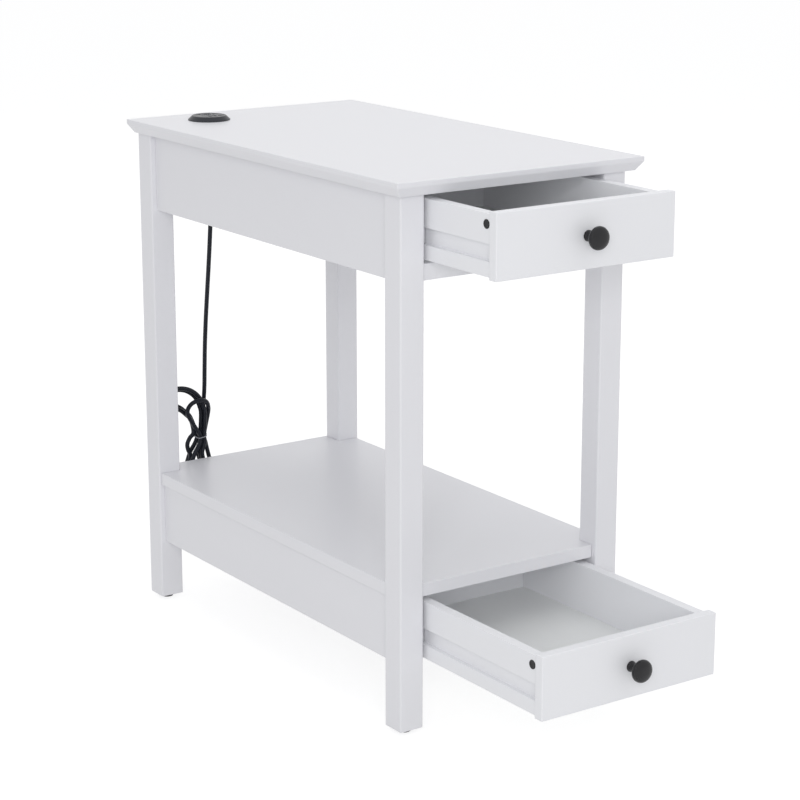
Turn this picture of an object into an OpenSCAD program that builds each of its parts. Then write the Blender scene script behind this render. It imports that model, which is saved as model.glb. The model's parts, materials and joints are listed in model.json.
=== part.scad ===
// Side table with two drawers, a shelf and a power dock in its top.
// +X is the table's width, the drawers pull out along -Y, +Z is up.
// The drawers stand part open, and the origin is on the floor, at the middle of the whole length.

/* [Overall] */
// Height of the top's upper face above the floor
table_h = 610; // [540:5:720]
// Width of the top, side to side
top_w = 326; // [280:2:420]
// Depth of the top, front to back
top_d = 580; // [490:5:700]

/* [Top] */
// Thickness of the top
top_t = 16; // [14:0.5:30]
// Height of the square edge above the under-bevel
top_edge = 5.5; // [3:0.5:10]
// How far the under-bevel runs inwards
bevel_run = 7; // [4:0.5:12]
// Overhang past the legs at each side
overhang_side = 14; // [8:1:25]
// Overhang past the front legs
overhang_front = 15; // [8:1:20]
// Overhang past the back legs
overhang_back = 2; // [0:0.5:10]

/* [Legs] */
// Side of the square leg
leg_w = 30; // [28:0.5:45]
// Rounding of the leg's long edges
leg_round = 1.5; // [0.5:0.25:4]
// Diameter of the floor glide
glide_d = 16; // [12:1:20]
// Height of the floor glide
glide_h = 5; // [3:0.5:8]

/* [Upper frame] */
// Height of the aprons under the top
apron_h = 93; // [80:1:120]
// Thickness of every apron
apron_t = 15; // [12:0.5:18]
// Aprons stand back from the legs' outer faces by this
apron_inset = 7; // [3:0.5:9]
// Height of the rail under the upper drawer
rail_h = 18; // [14:0.5:20]
// Depth of that rail, front to back
rail_d = 24; // [18:0.5:24]
// The rail stands back from the front legs' faces by this
rail_inset = 6; // [3:0.5:6]

/* [Shelf and lower frame] */
// Height of the shelf's upper face
shelf_z = 168; // [120:1:260]
// Thickness of the shelf
shelf_t = 15; // [12:0.5:20]
// The shelf stands back from the legs' sides by this
shelf_inset_side = 3; // [2:0.5:7]
// The shelf stands back from the front legs' faces by this
shelf_inset_front = 7; // [2:0.5:12]
// Height of the aprons under the shelf
low_apron_h = 75; // [68:1:100]

/* [Drawers] */
// Length of a drawer, from its front face to its back
drawer_len = 328; // [260:2:380]
// Height of a drawer front
front_h = 70; // [58:1:84]
// Thickness of a drawer front
front_t = 12; // [12:0.5:18]
// Gap between a drawer front and each leg
front_gap = 2.5; // [1:0.25:4]
// Gap between a drawer front and what is above it
head_gap = 2; // [1:0.25:4]
// Thickness of the drawer sides and back
side_t = 12; // [12:0.5:15]
// The sides stand in from the front's ends by this
side_setback = 2; // [0.5:0.25:4]
// The sides' top edge is below the front's by this
side_drop = 3; // [1:0.25:6]
// The sides' lower edge is above the front's by this
side_lift = 2; // [1:0.25:4]
// Thickness of the bottom panel
bottom_t = 3; // [3:0.5:4]
// Lip under the bottom panel
bottom_lip = 5; // [4:0.5:7]
// How far the bottom panel is let into the sides
bottom_let_in = 5; // [3:0.5:6]
// How far the upper drawer stands open
upper_open = 120; // [0:5:240]
// How far the lower drawer stands open
lower_open = 205; // [0:5:240]

/* [Runners] */
// Height of the groove along each drawer side
groove_h = 18; // [12:0.5:20]
// Depth of that groove
groove_d = 6; // [4:0.5:7]
// Height of the groove's lower edge above the side's lower edge
groove_up = 16; // [14:0.5:20]
// Gap between a runner and its groove, above and below
runner_gap = 0.4; // [0.3:0.05:1]
// Gap between a runner and the groove's floor
runner_end_gap = 1; // [0.5:0.25:2]
// Length of a runner
runner_len = 332; // [240:2:380]

/* [Knobs] */
// Diameter of a knob
knob_d = 25; // [18:0.5:32]
// How far a knob stands out
knob_len = 24; // [18:0.5:32]
// Diameter of a knob's foot
knob_foot_d = 12; // [9:0.5:16]

/* [Power dock] */
// Distance of the dock's axis from the table's middle, to the left
dock_left = 83; // [60:1:95]
// Distance of the dock's axis from the top's back edge
dock_back = 61; // [50:1:90]
// Diameter of the dock's rim
dock_d = 51; // [48:0.5:60]
// Diameter of the dock's upper face
dock_face_d = 41; // [38:0.5:46]
// Height of the dock above the top
dock_rise = 5.5; // [3:0.5:9]
// Diameter of the housing through the top
dock_body_d = 43; // [42:0.5:45]
// Depth of the housing below the top's upper face
dock_depth = 34; // [30:1:45]

/* [Power cord] */
// Width of the power cord
cord_d = 5.6; // [4.5:0.1:7]
// Length of the strain relief under the dock
gland_len = 24; // [20:1:40]
// Thickness of the tied hank
hank_t = 18; // [12:1:24]

/* [Hidden] */

$fn = 48;
eps = 0.01;
white = [0.91, 0.91, 0.93];
liner = [0.80, 0.81, 0.80];
beech = [0.80, 0.66, 0.47];
steel = [0.62, 0.63, 0.65];
black = [0.10, 0.10, 0.11];

// Fits
dowel_play = 0.05;     // radial room round a glued dowel or a pressed pin
screw_play = 0.05;     // radial room round a screw in its pilot hole
seat_gap = 0.3;        // room between a notched or let-in board and its neighbour
groove_play = 0.1;     // room above and below a bottom panel in its groove

// The whole length at rest, and the places along it
knob_reach = max(upper_open, lower_open) + knob_len;
rest_len = top_d - overhang_front + knob_reach;
top_back_y = rest_len / 2;
top_front_y = top_back_y - top_d;
leg_front_y = top_front_y + overhang_front;
leg_back_y = top_back_y - overhang_back;
frame_hw = top_w / 2 - overhang_side;
open_hw = frame_hw - leg_w;

// Heights
top_under = table_h - top_t;
apron_z = top_under - apron_h;
low_apron_z = shelf_z - shelf_t - low_apron_h;
upper_front_z = top_under - head_gap - 1 - front_h;
lower_front_z = shelf_z - shelf_t - head_gap - front_h;

// Aprons
apron_in_x = frame_hw - apron_inset - apron_t;
apron_mid = apron_inset + apron_t / 2;
apron_front_y = leg_front_y + leg_w;
apron_back_y = leg_back_y - leg_w;

// Dowels
dowel_r = 4;
dowel_in_leg = 12;
dowel_in_apron = 18;
side_dowel_edge = 21;
back_dowel_edge = 31;
top_dowel_leg = 16;
top_dowel_top = 10;
shelf_dowel_apron = 13;
shelf_dowel_shelf = 9;

// Drawer box
front_w = 2 * (open_hw - front_gap);
side_x = front_w / 2 - side_setback;
inner_x = side_x - side_t;
side_h = front_h - side_drop - side_lift;
bottom_z = side_lift + bottom_lip;
box_dowel_r = 3;
box_dowel_front = 8;
box_dowel_side = 14;
box_dowel_z = [side_lift + 11.5, side_lift + groove_up + groove_h + 10];
back_dowel_in_side = 8;
back_dowel_in_back = 16;
cam_r = 5;
cam_depth = 9;
cam_cap_t = 1;
cam_cap_proud = 0.5;
cam_y = front_t + 7;
cam_z = side_lift + side_h - 11;
cam_bolt_r = 2.4;
cam_bolt_front = 8;
cam_bolt_cam = 3.5;
knob_screw_r = 2;
knob_screw_head_r = 4;
knob_screw_head_h = 2.5;
knob_screw_depth = 12;

// Runners
runner_h = groove_h - 2 * runner_gap;
runner_in_x = side_x - groove_d + runner_end_gap;
runner_front_y = leg_front_y + front_t + 0.5;
runner_screw_r = 1.95;
runner_screw_head_r = 3.8;
runner_screw_head_h = 2.2;
runner_screw_bite = 10;
runner_screw_at = [0.18, 0.5, 0.9];

// Brackets under the top
bracket_leg = 18;
bracket_wide = 16;
bracket_t = 1.5;
bracket_y = [leg_front_y + drawer_len + 50, leg_front_y + drawer_len + 110];
bracket_hole_r = 2.1;
bracket_screw_r = 1.5;
bracket_screw_len = 11;
bracket_head_r = 3.2;
bracket_head_h = 1.8;

// Glide
glide_nail_r = 1.2;
glide_nail_len = 16;
glide_round = 1.5;

// Dock
dock_x = -dock_left;
dock_y = top_back_y - dock_back;
dock_hole_r = dock_body_d / 2 + 0.5;
dock_wall = 2;
dock_floor = 2.5;
dock_rim = 0.8;
socket_w = 14.2;
socket_h = 6.4;
socket_wall = 0.6;
socket_deep = 12.5;
socket_pitch = 13;
board_t = 1.6;
board_z = table_h + dock_rise - socket_deep - board_t;
locknut_t = 6;
locknut_ring = 6.5;
locknut_grips = 8;
gland_neck_r = 4;
gland_top_r = 5;
gland_end_r = 3.7;
gland_flange_r = 7;
gland_flange_t = 2;

// Cord, hank and plug. The routes are round points, from the dock down behind the shelf.
cord_sides = 10;
cord_step = 14;
hank_y = 406.5;
cord_route = [
    [-83, 336, 552], [-83, 336, 540], [-83, 336.5, 520], [-82, 339, 495], [-80.5, 345, 462],
    [-77.5, 355, 425], [-73, 368, 388], [-68, 381.5, 352], [-63, 394, 316], [-58.8, 403.5, 284],
    [-56.6, 409, 258], [-56.8, 411.2, 240]
];
tail_route = [[-58, 406.5, 184], [-54.8, 406.5, 170], [-50.8, 406.5, 156], [-46.4, 406.5, 142],
              [-43, 406.5, 130], [-42, 406.5, 118]];
hank_waist = [-65.5, 196, 10];
hank_upper = [hank_waist, [-95, 243, 21], [-68, 234, 15]];
hank_lower = [hank_waist, [-75, 156, 15], [-74, 151, 14]];
tie_z = 194;
tie_h = 2;
tie_t = 0.9;
tie_half = 10.4;
plug_relief_len = 22;
plug_relief_r = 4;
plug_w = 25;
plug_d = 16;
plug_h = 30;
plug_round = 5;
blade_w = 6.3;
blade_t = 1.5;
blade_len = 17;
blade_root = 6;
blade_pitch = 12.7;

// ---------- helpers ----------

// A bar with rounded upright edges, from its low corner
module rounded_bar(size, r) {
    translate([r, 0, 0]) cube([size[0] - 2 * r, size[1], size[2]]);
    translate([0, r, 0]) cube([size[0], size[1] - 2 * r, size[2]]);
    for (x = [r, size[0] - r], y = [r, size[1] - r]) translate([x, y, 0]) cylinder(r = r, h = size[2]);
}

// A cylinder from a point along +X, +Y or +Z
module rod_x(p, r, h) { translate(p) rotate([0, 90, 0]) cylinder(r = r, h = h); }
module rod_y(p, r, h) { translate(p) rotate([-90, 0, 0]) cylinder(r = r, h = h); }
module rod_z(p, r, h) { translate(p) cylinder(r = r, h = h); }

// A triangular prism along +Y that cuts a bevel under an edge on the +X side
module bevel_cutter(len) {
    h = top_t - top_edge;
    translate([0, len / 2, 0]) rotate([90, 0, 0]) linear_extrude(len)
        polygon([[eps, 0], [eps, h], [-bevel_run, 0], [-bevel_run, -eps], [eps, -eps]]);
}

// ---------- frame dowels: places shared by the dowels and their bores ----------

apron_dowel_zs = [
    [apron_z + side_dowel_edge, apron_z + apron_h - side_dowel_edge],
    [low_apron_z + side_dowel_edge, low_apron_z + low_apron_h - side_dowel_edge]
];
back_dowel_zs = [
    [apron_z + back_dowel_edge, apron_z + apron_h - back_dowel_edge],
    [low_apron_z + back_dowel_edge, low_apron_z + low_apron_h - back_dowel_edge]
];
rail_dowel_y = leg_front_y + rail_inset + rail_d / 2;
rail_dowel_z = apron_z + rail_h / 2;

// play is 0 for the dowels and the clearance for their bores
module side_apron_dowels(play = 0) {
    for (s = [-1, 1], zs = apron_dowel_zs, z = zs) {
        rod_y([s * (frame_hw - apron_mid), apron_front_y - dowel_in_leg, z],
              dowel_r + play, dowel_in_leg + dowel_in_apron);
        rod_y([s * (frame_hw - apron_mid), apron_back_y - dowel_in_apron, z],
              dowel_r + play, dowel_in_leg + dowel_in_apron);
    }
}

module back_apron_dowels(play = 0) {
    for (s = [-1, 1], zs = back_dowel_zs, z = zs)
        rod_x([s * open_hw - (s > 0 ? dowel_in_apron : dowel_in_leg), leg_back_y - apron_mid, z],
              dowel_r + play, dowel_in_leg + dowel_in_apron);
}

module rail_dowels(play = 0) {
    for (s = [-1, 1])
        rod_x([s * open_hw - (s > 0 ? dowel_in_apron : dowel_in_leg), rail_dowel_y, rail_dowel_z],
              dowel_r + play, dowel_in_leg + dowel_in_apron);
}

module top_dowels(play = 0) {
    for (s = [-1, 1], y = [leg_front_y + leg_w / 2, leg_back_y - leg_w / 2])
        rod_z([s * (frame_hw - leg_w / 2), y, top_under - top_dowel_leg],
              dowel_r + play, top_dowel_leg + top_dowel_top);
}

module shelf_dowel_set(play = 0) {
    for (s = [-1, 1], t = [0.12, 0.5, 0.88])
        rod_z([s * (frame_hw - apron_mid), apron_front_y + t * (apron_back_y - apron_front_y),
               shelf_z - shelf_t - shelf_dowel_apron], dowel_r + play, shelf_dowel_apron + shelf_dowel_shelf);
}

module all_frame_bores() {
    side_apron_dowels(dowel_play);
    back_apron_dowels(dowel_play);
    rail_dowels(dowel_play);
}

// ---------- top, legs and glides ----------

module top_panel() {
    color(white) difference() {
        translate([-top_w / 2, top_front_y, top_under]) cube([top_w, top_d, top_t]);
        translate([top_w / 2, (top_front_y + top_back_y) / 2, top_under]) bevel_cutter(top_d + 2);
        mirror([1, 0, 0])
            translate([top_w / 2, (top_front_y + top_back_y) / 2, top_under]) bevel_cutter(top_d + 2);
        translate([0, top_back_y, top_under]) rotate([0, 0, 90]) bevel_cutter(top_w + 2);
        translate([0, top_front_y, top_under]) rotate([0, 0, -90]) bevel_cutter(top_w + 2);
        rod_z([dock_x, dock_y, top_under - 1], dock_hole_r, top_t + 2);
        top_dowels(dowel_play);
        bracket_screw_set(screw_play);
    }
}

// side: -1 left, 1 right; end: -1 front, 1 back
module leg(side, end) {
    x = side < 0 ? -frame_hw : frame_hw - leg_w;
    y = end < 0 ? leg_front_y : leg_back_y - leg_w;
    color(white) difference() {
        translate([x, y, glide_h]) rounded_bar([leg_w, leg_w, top_under - glide_h], leg_round);
        all_frame_bores();
        top_dowels(dowel_play);
        glide_nails(dowel_play);
    }
}

module glide_places() {
    for (s = [-1, 1], y = [leg_front_y + leg_w / 2, leg_back_y - leg_w / 2])
        translate([s * (frame_hw - leg_w / 2), y, 0]) children();
}

module glide_nails(play = 0) {
    glide_places() rod_z([0, 0, glide_h - eps], glide_nail_r + play, glide_nail_len);
}

module leg_glides() {
    color(black) {
        glide_places() rotate_extrude() polygon([
            [0, 0], [glide_d / 2 - glide_round, 0], [glide_d / 2, glide_round],
            [glide_d / 2, glide_h], [0, glide_h]
        ]);
        glide_nails();
    }
}

// ---------- aprons, rail and shelf ----------

module side_apron(side, z, h) {
    x = side < 0 ? -(frame_hw - apron_inset) : apron_in_x;
    color(white) difference() {
        translate([x, apron_front_y, z]) cube([apron_t, apron_back_y - apron_front_y, h]);
        all_frame_bores();
        shelf_dowel_set(dowel_play);
        runner_screw_set(screw_play);
        bracket_screw_set(screw_play);
    }
}

module back_apron(z, h) {
    color(white) difference() {
        translate([-open_hw, leg_back_y - apron_inset - apron_t, z]) cube([2 * open_hw, apron_t, h]);
        all_frame_bores();
    }
}

module upper_front_rail() {
    color(white) difference() {
        translate([-open_hw, leg_front_y + rail_inset, apron_z]) cube([2 * open_hw, rail_d, rail_h]);
        all_frame_bores();
    }
}

module shelf() {
    hw = frame_hw - shelf_inset_side;
    notch_x = open_hw - seat_gap;
    color(white) difference() {
        translate([-hw, leg_front_y + shelf_inset_front, shelf_z - shelf_t])
            cube([2 * hw, leg_back_y - leg_front_y - shelf_inset_front, shelf_t]);
        for (s = [-1, 1], y = [leg_front_y, leg_back_y - leg_w - seat_gap])
            translate([s < 0 ? -hw - 1 : notch_x, y - eps, shelf_z - shelf_t - 1])
                cube([hw + 1 - notch_x, leg_w + seat_gap + 2 * eps, shelf_t + 2]);
        shelf_dowel_set(dowel_play);
    }
}

module frame_dowels() {
    color(beech) {
        side_apron_dowels();
        back_apron_dowels();
        rail_dowels();
    }
}

module leg_top_dowels() { color(beech) top_dowels(); }

module shelf_dowels() { color(beech) shelf_dowel_set(); }

// ---------- runners ----------

function runner_z(front_z) = front_z + side_lift + groove_up + runner_gap;
runner_zs = [runner_z(upper_front_z), runner_z(lower_front_z)];

// One screw along +X from its head's face, with its countersunk head
module runner_screw(play) {
    len = apron_in_x - runner_in_x + runner_screw_bite;
    rotate([0, 90, 0]) {
        cylinder(r = runner_screw_r + play, h = len);
        cylinder(r1 = runner_screw_head_r + play, r2 = runner_screw_r + play, h = runner_screw_head_h);
    }
}

module runner_screw_set(play = 0) {
    for (m = [0, 1], z = runner_zs, t = runner_screw_at)
        mirror([m, 0, 0])
            translate([runner_in_x, runner_front_y + t * runner_len, z + runner_h / 2]) runner_screw(play);
}

// A strip on the apron's inner face, with a nose that runs forward past the leg
module runner(side, z) {
    color(white) difference() {
        mirror([side < 0 ? 1 : 0, 0, 0]) {
            translate([runner_in_x, apron_front_y + seat_gap, z])
                cube([apron_in_x - runner_in_x, runner_front_y + runner_len - apron_front_y - seat_gap, runner_h]);
            translate([runner_in_x, runner_front_y, z])
                cube([open_hw - seat_gap - runner_in_x, runner_len, runner_h]);
        }
        runner_screw_set(screw_play);
    }
}

module runner_screws() { color(steel) runner_screw_set(); }

// ---------- brackets under the top ----------

module bracket_places() {
    for (m = [0, 1], y = bracket_y)
        mirror([m, 0, 0]) translate([apron_in_x, y, top_under]) children();
}

module top_brackets() {
    color(steel) bracket_places() difference() {
        union() {
            translate([-bracket_leg, -bracket_wide / 2, -bracket_t]) cube([bracket_leg, bracket_wide, bracket_t]);
            translate([-bracket_t, -bracket_wide / 2, -bracket_leg]) cube([bracket_t, bracket_wide, bracket_leg]);
        }
        rod_z([-bracket_leg * 0.6, 0, -bracket_t - 1], bracket_hole_r, bracket_t + 2);
        rod_x([-bracket_t - 1, 0, -bracket_leg * 0.6], bracket_hole_r, bracket_t + 2);
    }
}

// The shafts bite past the bracket; the heads bear on its inner faces
module bracket_screw_set(play = 0) {
    bracket_places() {
        rod_z([-bracket_leg * 0.6, 0, -bracket_t - eps], bracket_screw_r + play, bracket_screw_len);
        rod_x([-bracket_t - eps, 0, -bracket_leg * 0.6], bracket_screw_r + play, bracket_screw_len);
    }
}

module bracket_screws() {
    color(steel) {
        bracket_screw_set();
        bracket_places() {
            rod_z([-bracket_leg * 0.6, 0, -bracket_t - bracket_head_h], bracket_head_r, bracket_head_h);
            rod_x([-bracket_t - bracket_head_h, 0, -bracket_leg * 0.6], bracket_head_r, bracket_head_h);
        }
    }
}

// ---------- power dock ----------

module socket_places() {
    for (s = [-1, 1]) translate([dock_x, dock_y + s * socket_pitch / 2, 0]) children();
}

module dock_cap() {
    color(black) difference() {
        translate([dock_x, dock_y, table_h]) rotate_extrude($fn = 96) polygon([
            [0, 0], [dock_d / 2, 0], [dock_d / 2, dock_rim], [dock_face_d / 2, dock_rise], [0, dock_rise]
        ]);
        socket_places() translate([-socket_w / 2 - 0.2, -socket_h / 2 - 0.2, table_h - 1])
            cube([socket_w + 0.4, socket_h + 0.4, dock_rise + 2]);
    }
}

module dock_housing() {
    r = dock_body_d / 2;
    color(black) translate([dock_x, dock_y, 0]) difference() {
        translate([0, 0, table_h - dock_depth]) cylinder(r = r, h = dock_depth);
        translate([0, 0, board_z]) cylinder(r = r - dock_wall, h = table_h - board_z + 1);
        translate([0, 0, table_h - dock_depth + dock_floor])
            cylinder(r = r - 2 * dock_wall, h = board_z - table_h + dock_depth - dock_floor + 1);
        translate([0, 0, table_h - dock_depth - 1]) cylinder(r = gland_neck_r + dowel_play, h = dock_floor + 2);
    }
}

module dock_locknut() {
    r = dock_body_d / 2;
    color(black) translate([dock_x, dock_y, top_under - locknut_t]) difference() {
        cylinder(r = r + locknut_ring, h = locknut_t);
        translate([0, 0, -1]) cylinder(r = r + 0.2, h = locknut_t + 2);
        for (i = [0 : locknut_grips - 1]) rotate(i * 360 / locknut_grips)
            translate([r + locknut_ring - 1.5, -1.5, -1]) cube([3, 3, locknut_t - 1]);
    }
}

module dock_sockets() {
    color(steel) socket_places() translate([-socket_w / 2, -socket_h / 2, board_z + board_t]) difference() {
        cube([socket_w, socket_h, socket_deep]);
        translate([socket_wall, socket_wall, 1])
            cube([socket_w - 2 * socket_wall, socket_h - 2 * socket_wall, socket_deep]);
    }
}

module dock_board() {
    color("darkgreen") rod_z([dock_x, dock_y, board_z], dock_body_d / 2 - dock_wall - 0.2, board_t);
}

// The moulded strain relief: a flange inside the housing, a neck through its floor and a long taper below
module cord_gland() {
    z = table_h - dock_depth;
    color(black) translate([dock_x, dock_y, z]) rotate_extrude() polygon([
        [0, dock_floor + gland_flange_t], [gland_flange_r, dock_floor + gland_flange_t],
        [gland_flange_r, dock_floor], [gland_neck_r, dock_floor], [gland_neck_r, 0],
        [gland_top_r, 0], [gland_end_r, -gland_len], [0, -gland_len]
    ]);
}

// ---------- power cord ----------

function mix(a, b, t) = a + (b - a) * t;

// Catmull-Rom point on a route, at t within span i
function route_at(p, i, t) =
    let (n = len(p) - 1, a = p[max(i - 1, 0)], b = p[i], c = p[i + 1], d = p[min(i + 2, n)])
    0.5 * (2 * b + (c - a) * t + (2 * a - 5 * b + 4 * c - d) * t * t + (3 * b - a - 3 * c + d) * t * t * t);

function spans(p, step) = [for (i = [0 : len(p) - 2]) max(1, ceil(norm(p[i + 1] - p[i]) / step))];

function smooth_route(p, step) = concat(
    [for (i = [0 : len(p) - 2], n = spans(p, step)[i], k = [0 : n - 1]) route_at(p, i, k / n)],
    [p[len(p) - 1]]);

function unit(v) = v / norm(v);

// Direction along the path at point i
function heading(p, i) = unit(p[min(i + 1, len(p) - 1)] - p[max(i - 1, 0)]);

// A tube of the given diameter swept along the route
module swept_cord(route, d) {
    p = smooth_route(route, cord_step);
    n = len(p);
    rings = [for (i = [0 : n - 1])
        let (h = i == 0 || i == n - 1 ? [0, 0, -1] : heading(p, i), u = unit(cross([0, 1, 0], h)), v = cross(h, u))
        for (k = [0 : cord_sides - 1]) let (a = 360 * k / cord_sides) p[i] + d / 2 * (cos(a) * u + sin(a) * v)];
    walls = [for (i = [0 : n - 2], k = [0 : cord_sides - 1])
        let (a = i * cord_sides, b = a + cord_sides, m = (k + 1) % cord_sides) [a + k, a + m, b + m, b + k]];
    first = [for (k = [cord_sides - 1 : -1 : 0]) k];
    last = [for (k = [0 : cord_sides - 1]) (n - 1) * cord_sides + k];
    polyhedron(points = rings, faces = concat(walls, [first], [last]), convexity = 8);
}

module power_cord() { color(black) swept_cord(cord_route, cord_d); }

module cord_tail() { color(black) swept_cord(tail_route, cord_d); }

module lobe(circles) {
    hull() for (c = circles) translate([c[0], c[1]]) circle(r = c[2], $fn = 32);
}

module cord_hank() {
    color(black) translate([0, hank_y + hank_t / 2, 0]) rotate([90, 0, 0]) linear_extrude(hank_t) {
        lobe(hank_upper);
        lobe(hank_lower);
    }
}

module cord_tie() {
    w = tie_half + tie_t;
    d = hank_t / 2 + tie_t;
    color(white) translate([hank_waist[0], hank_y, tie_z]) difference() {
        translate([-w, -d, 0]) cube([2 * w, 2 * d, tie_h]);
        translate([-tie_half, -hank_t / 2, -1]) cube([2 * tie_half, hank_t, tie_h + 2]);
    }
}

// ---------- plug ----------

module plug_body() {
    end = tail_route[len(tail_route) - 1];
    color(black) translate(end) {
        translate([0, 0, -plug_relief_len])
            cylinder(r1 = plug_relief_r + 1, r2 = cord_d / 2 + 0.7, h = plug_relief_len);
        translate([-plug_w / 2, -plug_d / 2, -plug_relief_len - plug_h])
            rounded_bar([plug_w, plug_d, plug_h], plug_round);
    }
}

module plug_blades() {
    end = tail_route[len(tail_route) - 1];
    z = end[2] - plug_relief_len - plug_h - blade_len;
    color(steel) for (s = [-1, 1])
        translate([end[0] + s * blade_pitch / 2 - blade_t / 2, end[1] - blade_w / 2, z])
            cube([blade_t, blade_w, blade_len]);
}

// ---------- drawers: each piece in the drawer's own place, front face at y = 0 ----------

module in_upper() { translate([0, leg_front_y - upper_open, upper_front_z]) children(); }
module in_lower() { translate([0, leg_front_y - lower_open, lower_front_z]) children(); }

// Dowels from the front into the sides, and from the sides into the back
module box_dowels(play = 0) {
    for (s = [-1, 1], z = box_dowel_z) {
        rod_y([s * (side_x - side_t / 2), front_t - box_dowel_front, z],
              box_dowel_r + play, box_dowel_front + box_dowel_side);
        rod_x([s * inner_x - (s > 0 ? back_dowel_in_back : back_dowel_in_side), drawer_len - side_t / 2, z],
              box_dowel_r + play, back_dowel_in_back + back_dowel_in_side);
    }
}

module cam_bolt_set(play = 0) {
    for (s = [-1, 1]) rod_y([s * (side_x - cam_depth / 2 - cam_cap_t / 2), front_t - cam_bolt_front, cam_z],
                            cam_bolt_r + play, cam_bolt_front + cam_y - front_t - cam_r + cam_bolt_cam);
}

// The space the bottom panel takes, larger by play on every side
module bottom_space(play = 0) {
    hw = inner_x + bottom_let_in - seat_gap;
    y = front_t - bottom_let_in + seat_gap;
    translate([-hw - play * 3, y - play * 3, bottom_z + groove_play - play])
        cube([2 * (hw + play * 3), drawer_len - side_t + bottom_let_in - seat_gap - y + play * 6,
              bottom_t + 2 * play]);
}

module drawer_front() {
    color(white) difference() {
        translate([-front_w / 2, 0, 0]) cube([front_w, front_t, front_h]);
        bottom_space(groove_play);
        box_dowels(dowel_play);
        cam_bolt_set(dowel_play);
        rod_y([0, -1, front_h / 2], knob_screw_r + 0.25, front_t + 2);
    }
}

module drawer_side(side) {
    color(white) mirror([side < 0 ? 1 : 0, 0, 0]) difference() {
        translate([inner_x, front_t, side_lift]) cube([side_t, drawer_len - front_t, side_h]);
        translate([side_x - groove_d, front_t - 1, side_lift + groove_up])
            cube([groove_d + 1, drawer_len - front_t + 2, groove_h]);
        bottom_space(groove_play);
        box_dowels(dowel_play);
        cam_bolt_set(dowel_play);
        rod_x([side_x - cam_depth, cam_y, cam_z], cam_r, cam_depth + 1);
    }
}

module drawer_back() {
    color(white) difference() {
        translate([-inner_x, drawer_len - side_t, side_lift]) cube([2 * inner_x, side_t, side_h]);
        bottom_space(groove_play);
        box_dowels(dowel_play);
    }
}

module drawer_bottom() { color(liner) bottom_space(); }

module drawer_dowels() { color(beech) box_dowels(); }

module cam_locks() {
    color(steel) for (m = [0, 1]) mirror([m, 0, 0]) difference() {
        rod_x([side_x - cam_depth, cam_y, cam_z], cam_r - dowel_play, cam_depth - cam_cap_t);
        cam_bolt_set(dowel_play);
    }
}

module cam_bolts() { color(steel) cam_bolt_set(); }

module cam_caps() {
    color(black) for (m = [0, 1]) mirror([m, 0, 0])
        rod_x([side_x - cam_cap_t, cam_y, cam_z], cam_r - dowel_play, cam_cap_t + cam_cap_proud);
}

// Foot, slim neck and a mushroom head, revolved round the pulling axis
module knob() {
    r = knob_d / 2;
    foot = knob_foot_d / 2;
    color(black) translate([0, 0, front_h / 2]) rotate([90, 0, 0]) difference() {
        rotate_extrude($fn = 72) difference() {
            union() {
                polygon([
                    [0, 0], [foot, 0], [foot, 1.5], [foot - 0.8, 4], [foot - 1.6, knob_len * 0.4],
                    [foot - 0.8, knob_len * 0.5], [r - 2, knob_len * 0.6], [r - 0.5, knob_len * 0.66],
                    [r, knob_len * 0.72], [r - 0.4, knob_len * 0.79], [r - 2, knob_len * 0.87],
                    [r * 0.6, knob_len * 0.955], [r * 0.3, knob_len * 0.99], [0, knob_len]
                ]);
            }
        }
        translate([0, 0, -1]) cylinder(r = knob_screw_r + screw_play, h = knob_screw_depth + 1.5);
    }
}

module knob_screw() {
    color(steel) {
        rod_y([0, -knob_screw_depth, front_h / 2], knob_screw_r, knob_screw_depth + front_t + eps);
        rod_y([0, front_t, front_h / 2], knob_screw_head_r, knob_screw_head_h);
    }
}

// ---------- nodes ----------

top_panel();
leg(-1, -1);  // leg_front_left
leg(1, -1);  // leg_front_right
leg(-1, 1);  // leg_back_left
leg(1, 1);  // leg_back_right
leg_glides();
side_apron(-1, apron_z, apron_h);  // upper_apron_left
side_apron(1, apron_z, apron_h);  // upper_apron_right
back_apron(apron_z, apron_h);  // upper_apron_back
upper_front_rail();
side_apron(-1, low_apron_z, low_apron_h);  // lower_apron_left
side_apron(1, low_apron_z, low_apron_h);  // lower_apron_right
back_apron(low_apron_z, low_apron_h);  // lower_apron_back
shelf();
runner(-1, runner_zs[0]);  // upper_runner_left
runner(1, runner_zs[0]);  // upper_runner_right
runner(-1, runner_zs[1]);  // lower_runner_left
runner(1, runner_zs[1]);  // lower_runner_right
runner_screws();
frame_dowels();
leg_top_dowels();
shelf_dowels();
top_brackets();
bracket_screws();
dock_cap();
dock_housing();
dock_locknut();
dock_sockets();
dock_board();
cord_gland();
power_cord();
cord_hank();
cord_tie();
cord_tail();
plug_body();
plug_blades();
in_upper() drawer_front();  // upper_drawer_front
in_upper() drawer_side(-1);  // upper_drawer_left
in_upper() drawer_side(1);  // upper_drawer_right
in_upper() drawer_back();  // upper_drawer_back
in_upper() drawer_bottom();  // upper_drawer_bottom
in_upper() knob();  // upper_knob
in_upper() knob_screw();  // upper_knob_screw
in_upper() drawer_dowels();  // upper_drawer_dowels
in_upper() cam_locks();  // upper_cam_locks
in_upper() cam_bolts();  // upper_cam_bolts
in_upper() cam_caps();  // upper_cam_caps
in_lower() drawer_front();  // lower_drawer_front
in_lower() drawer_side(-1);  // lower_drawer_left
in_lower() drawer_side(1);  // lower_drawer_right
in_lower() drawer_back();  // lower_drawer_back
in_lower() drawer_bottom();  // lower_drawer_bottom
in_lower() knob();  // lower_knob
in_lower() knob_screw();  // lower_knob_screw
in_lower() drawer_dowels();  // lower_drawer_dowels
in_lower() cam_locks();  // lower_cam_locks
in_lower() cam_bolts();  // lower_cam_bolts
in_lower() cam_caps();  // lower_cam_caps
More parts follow.
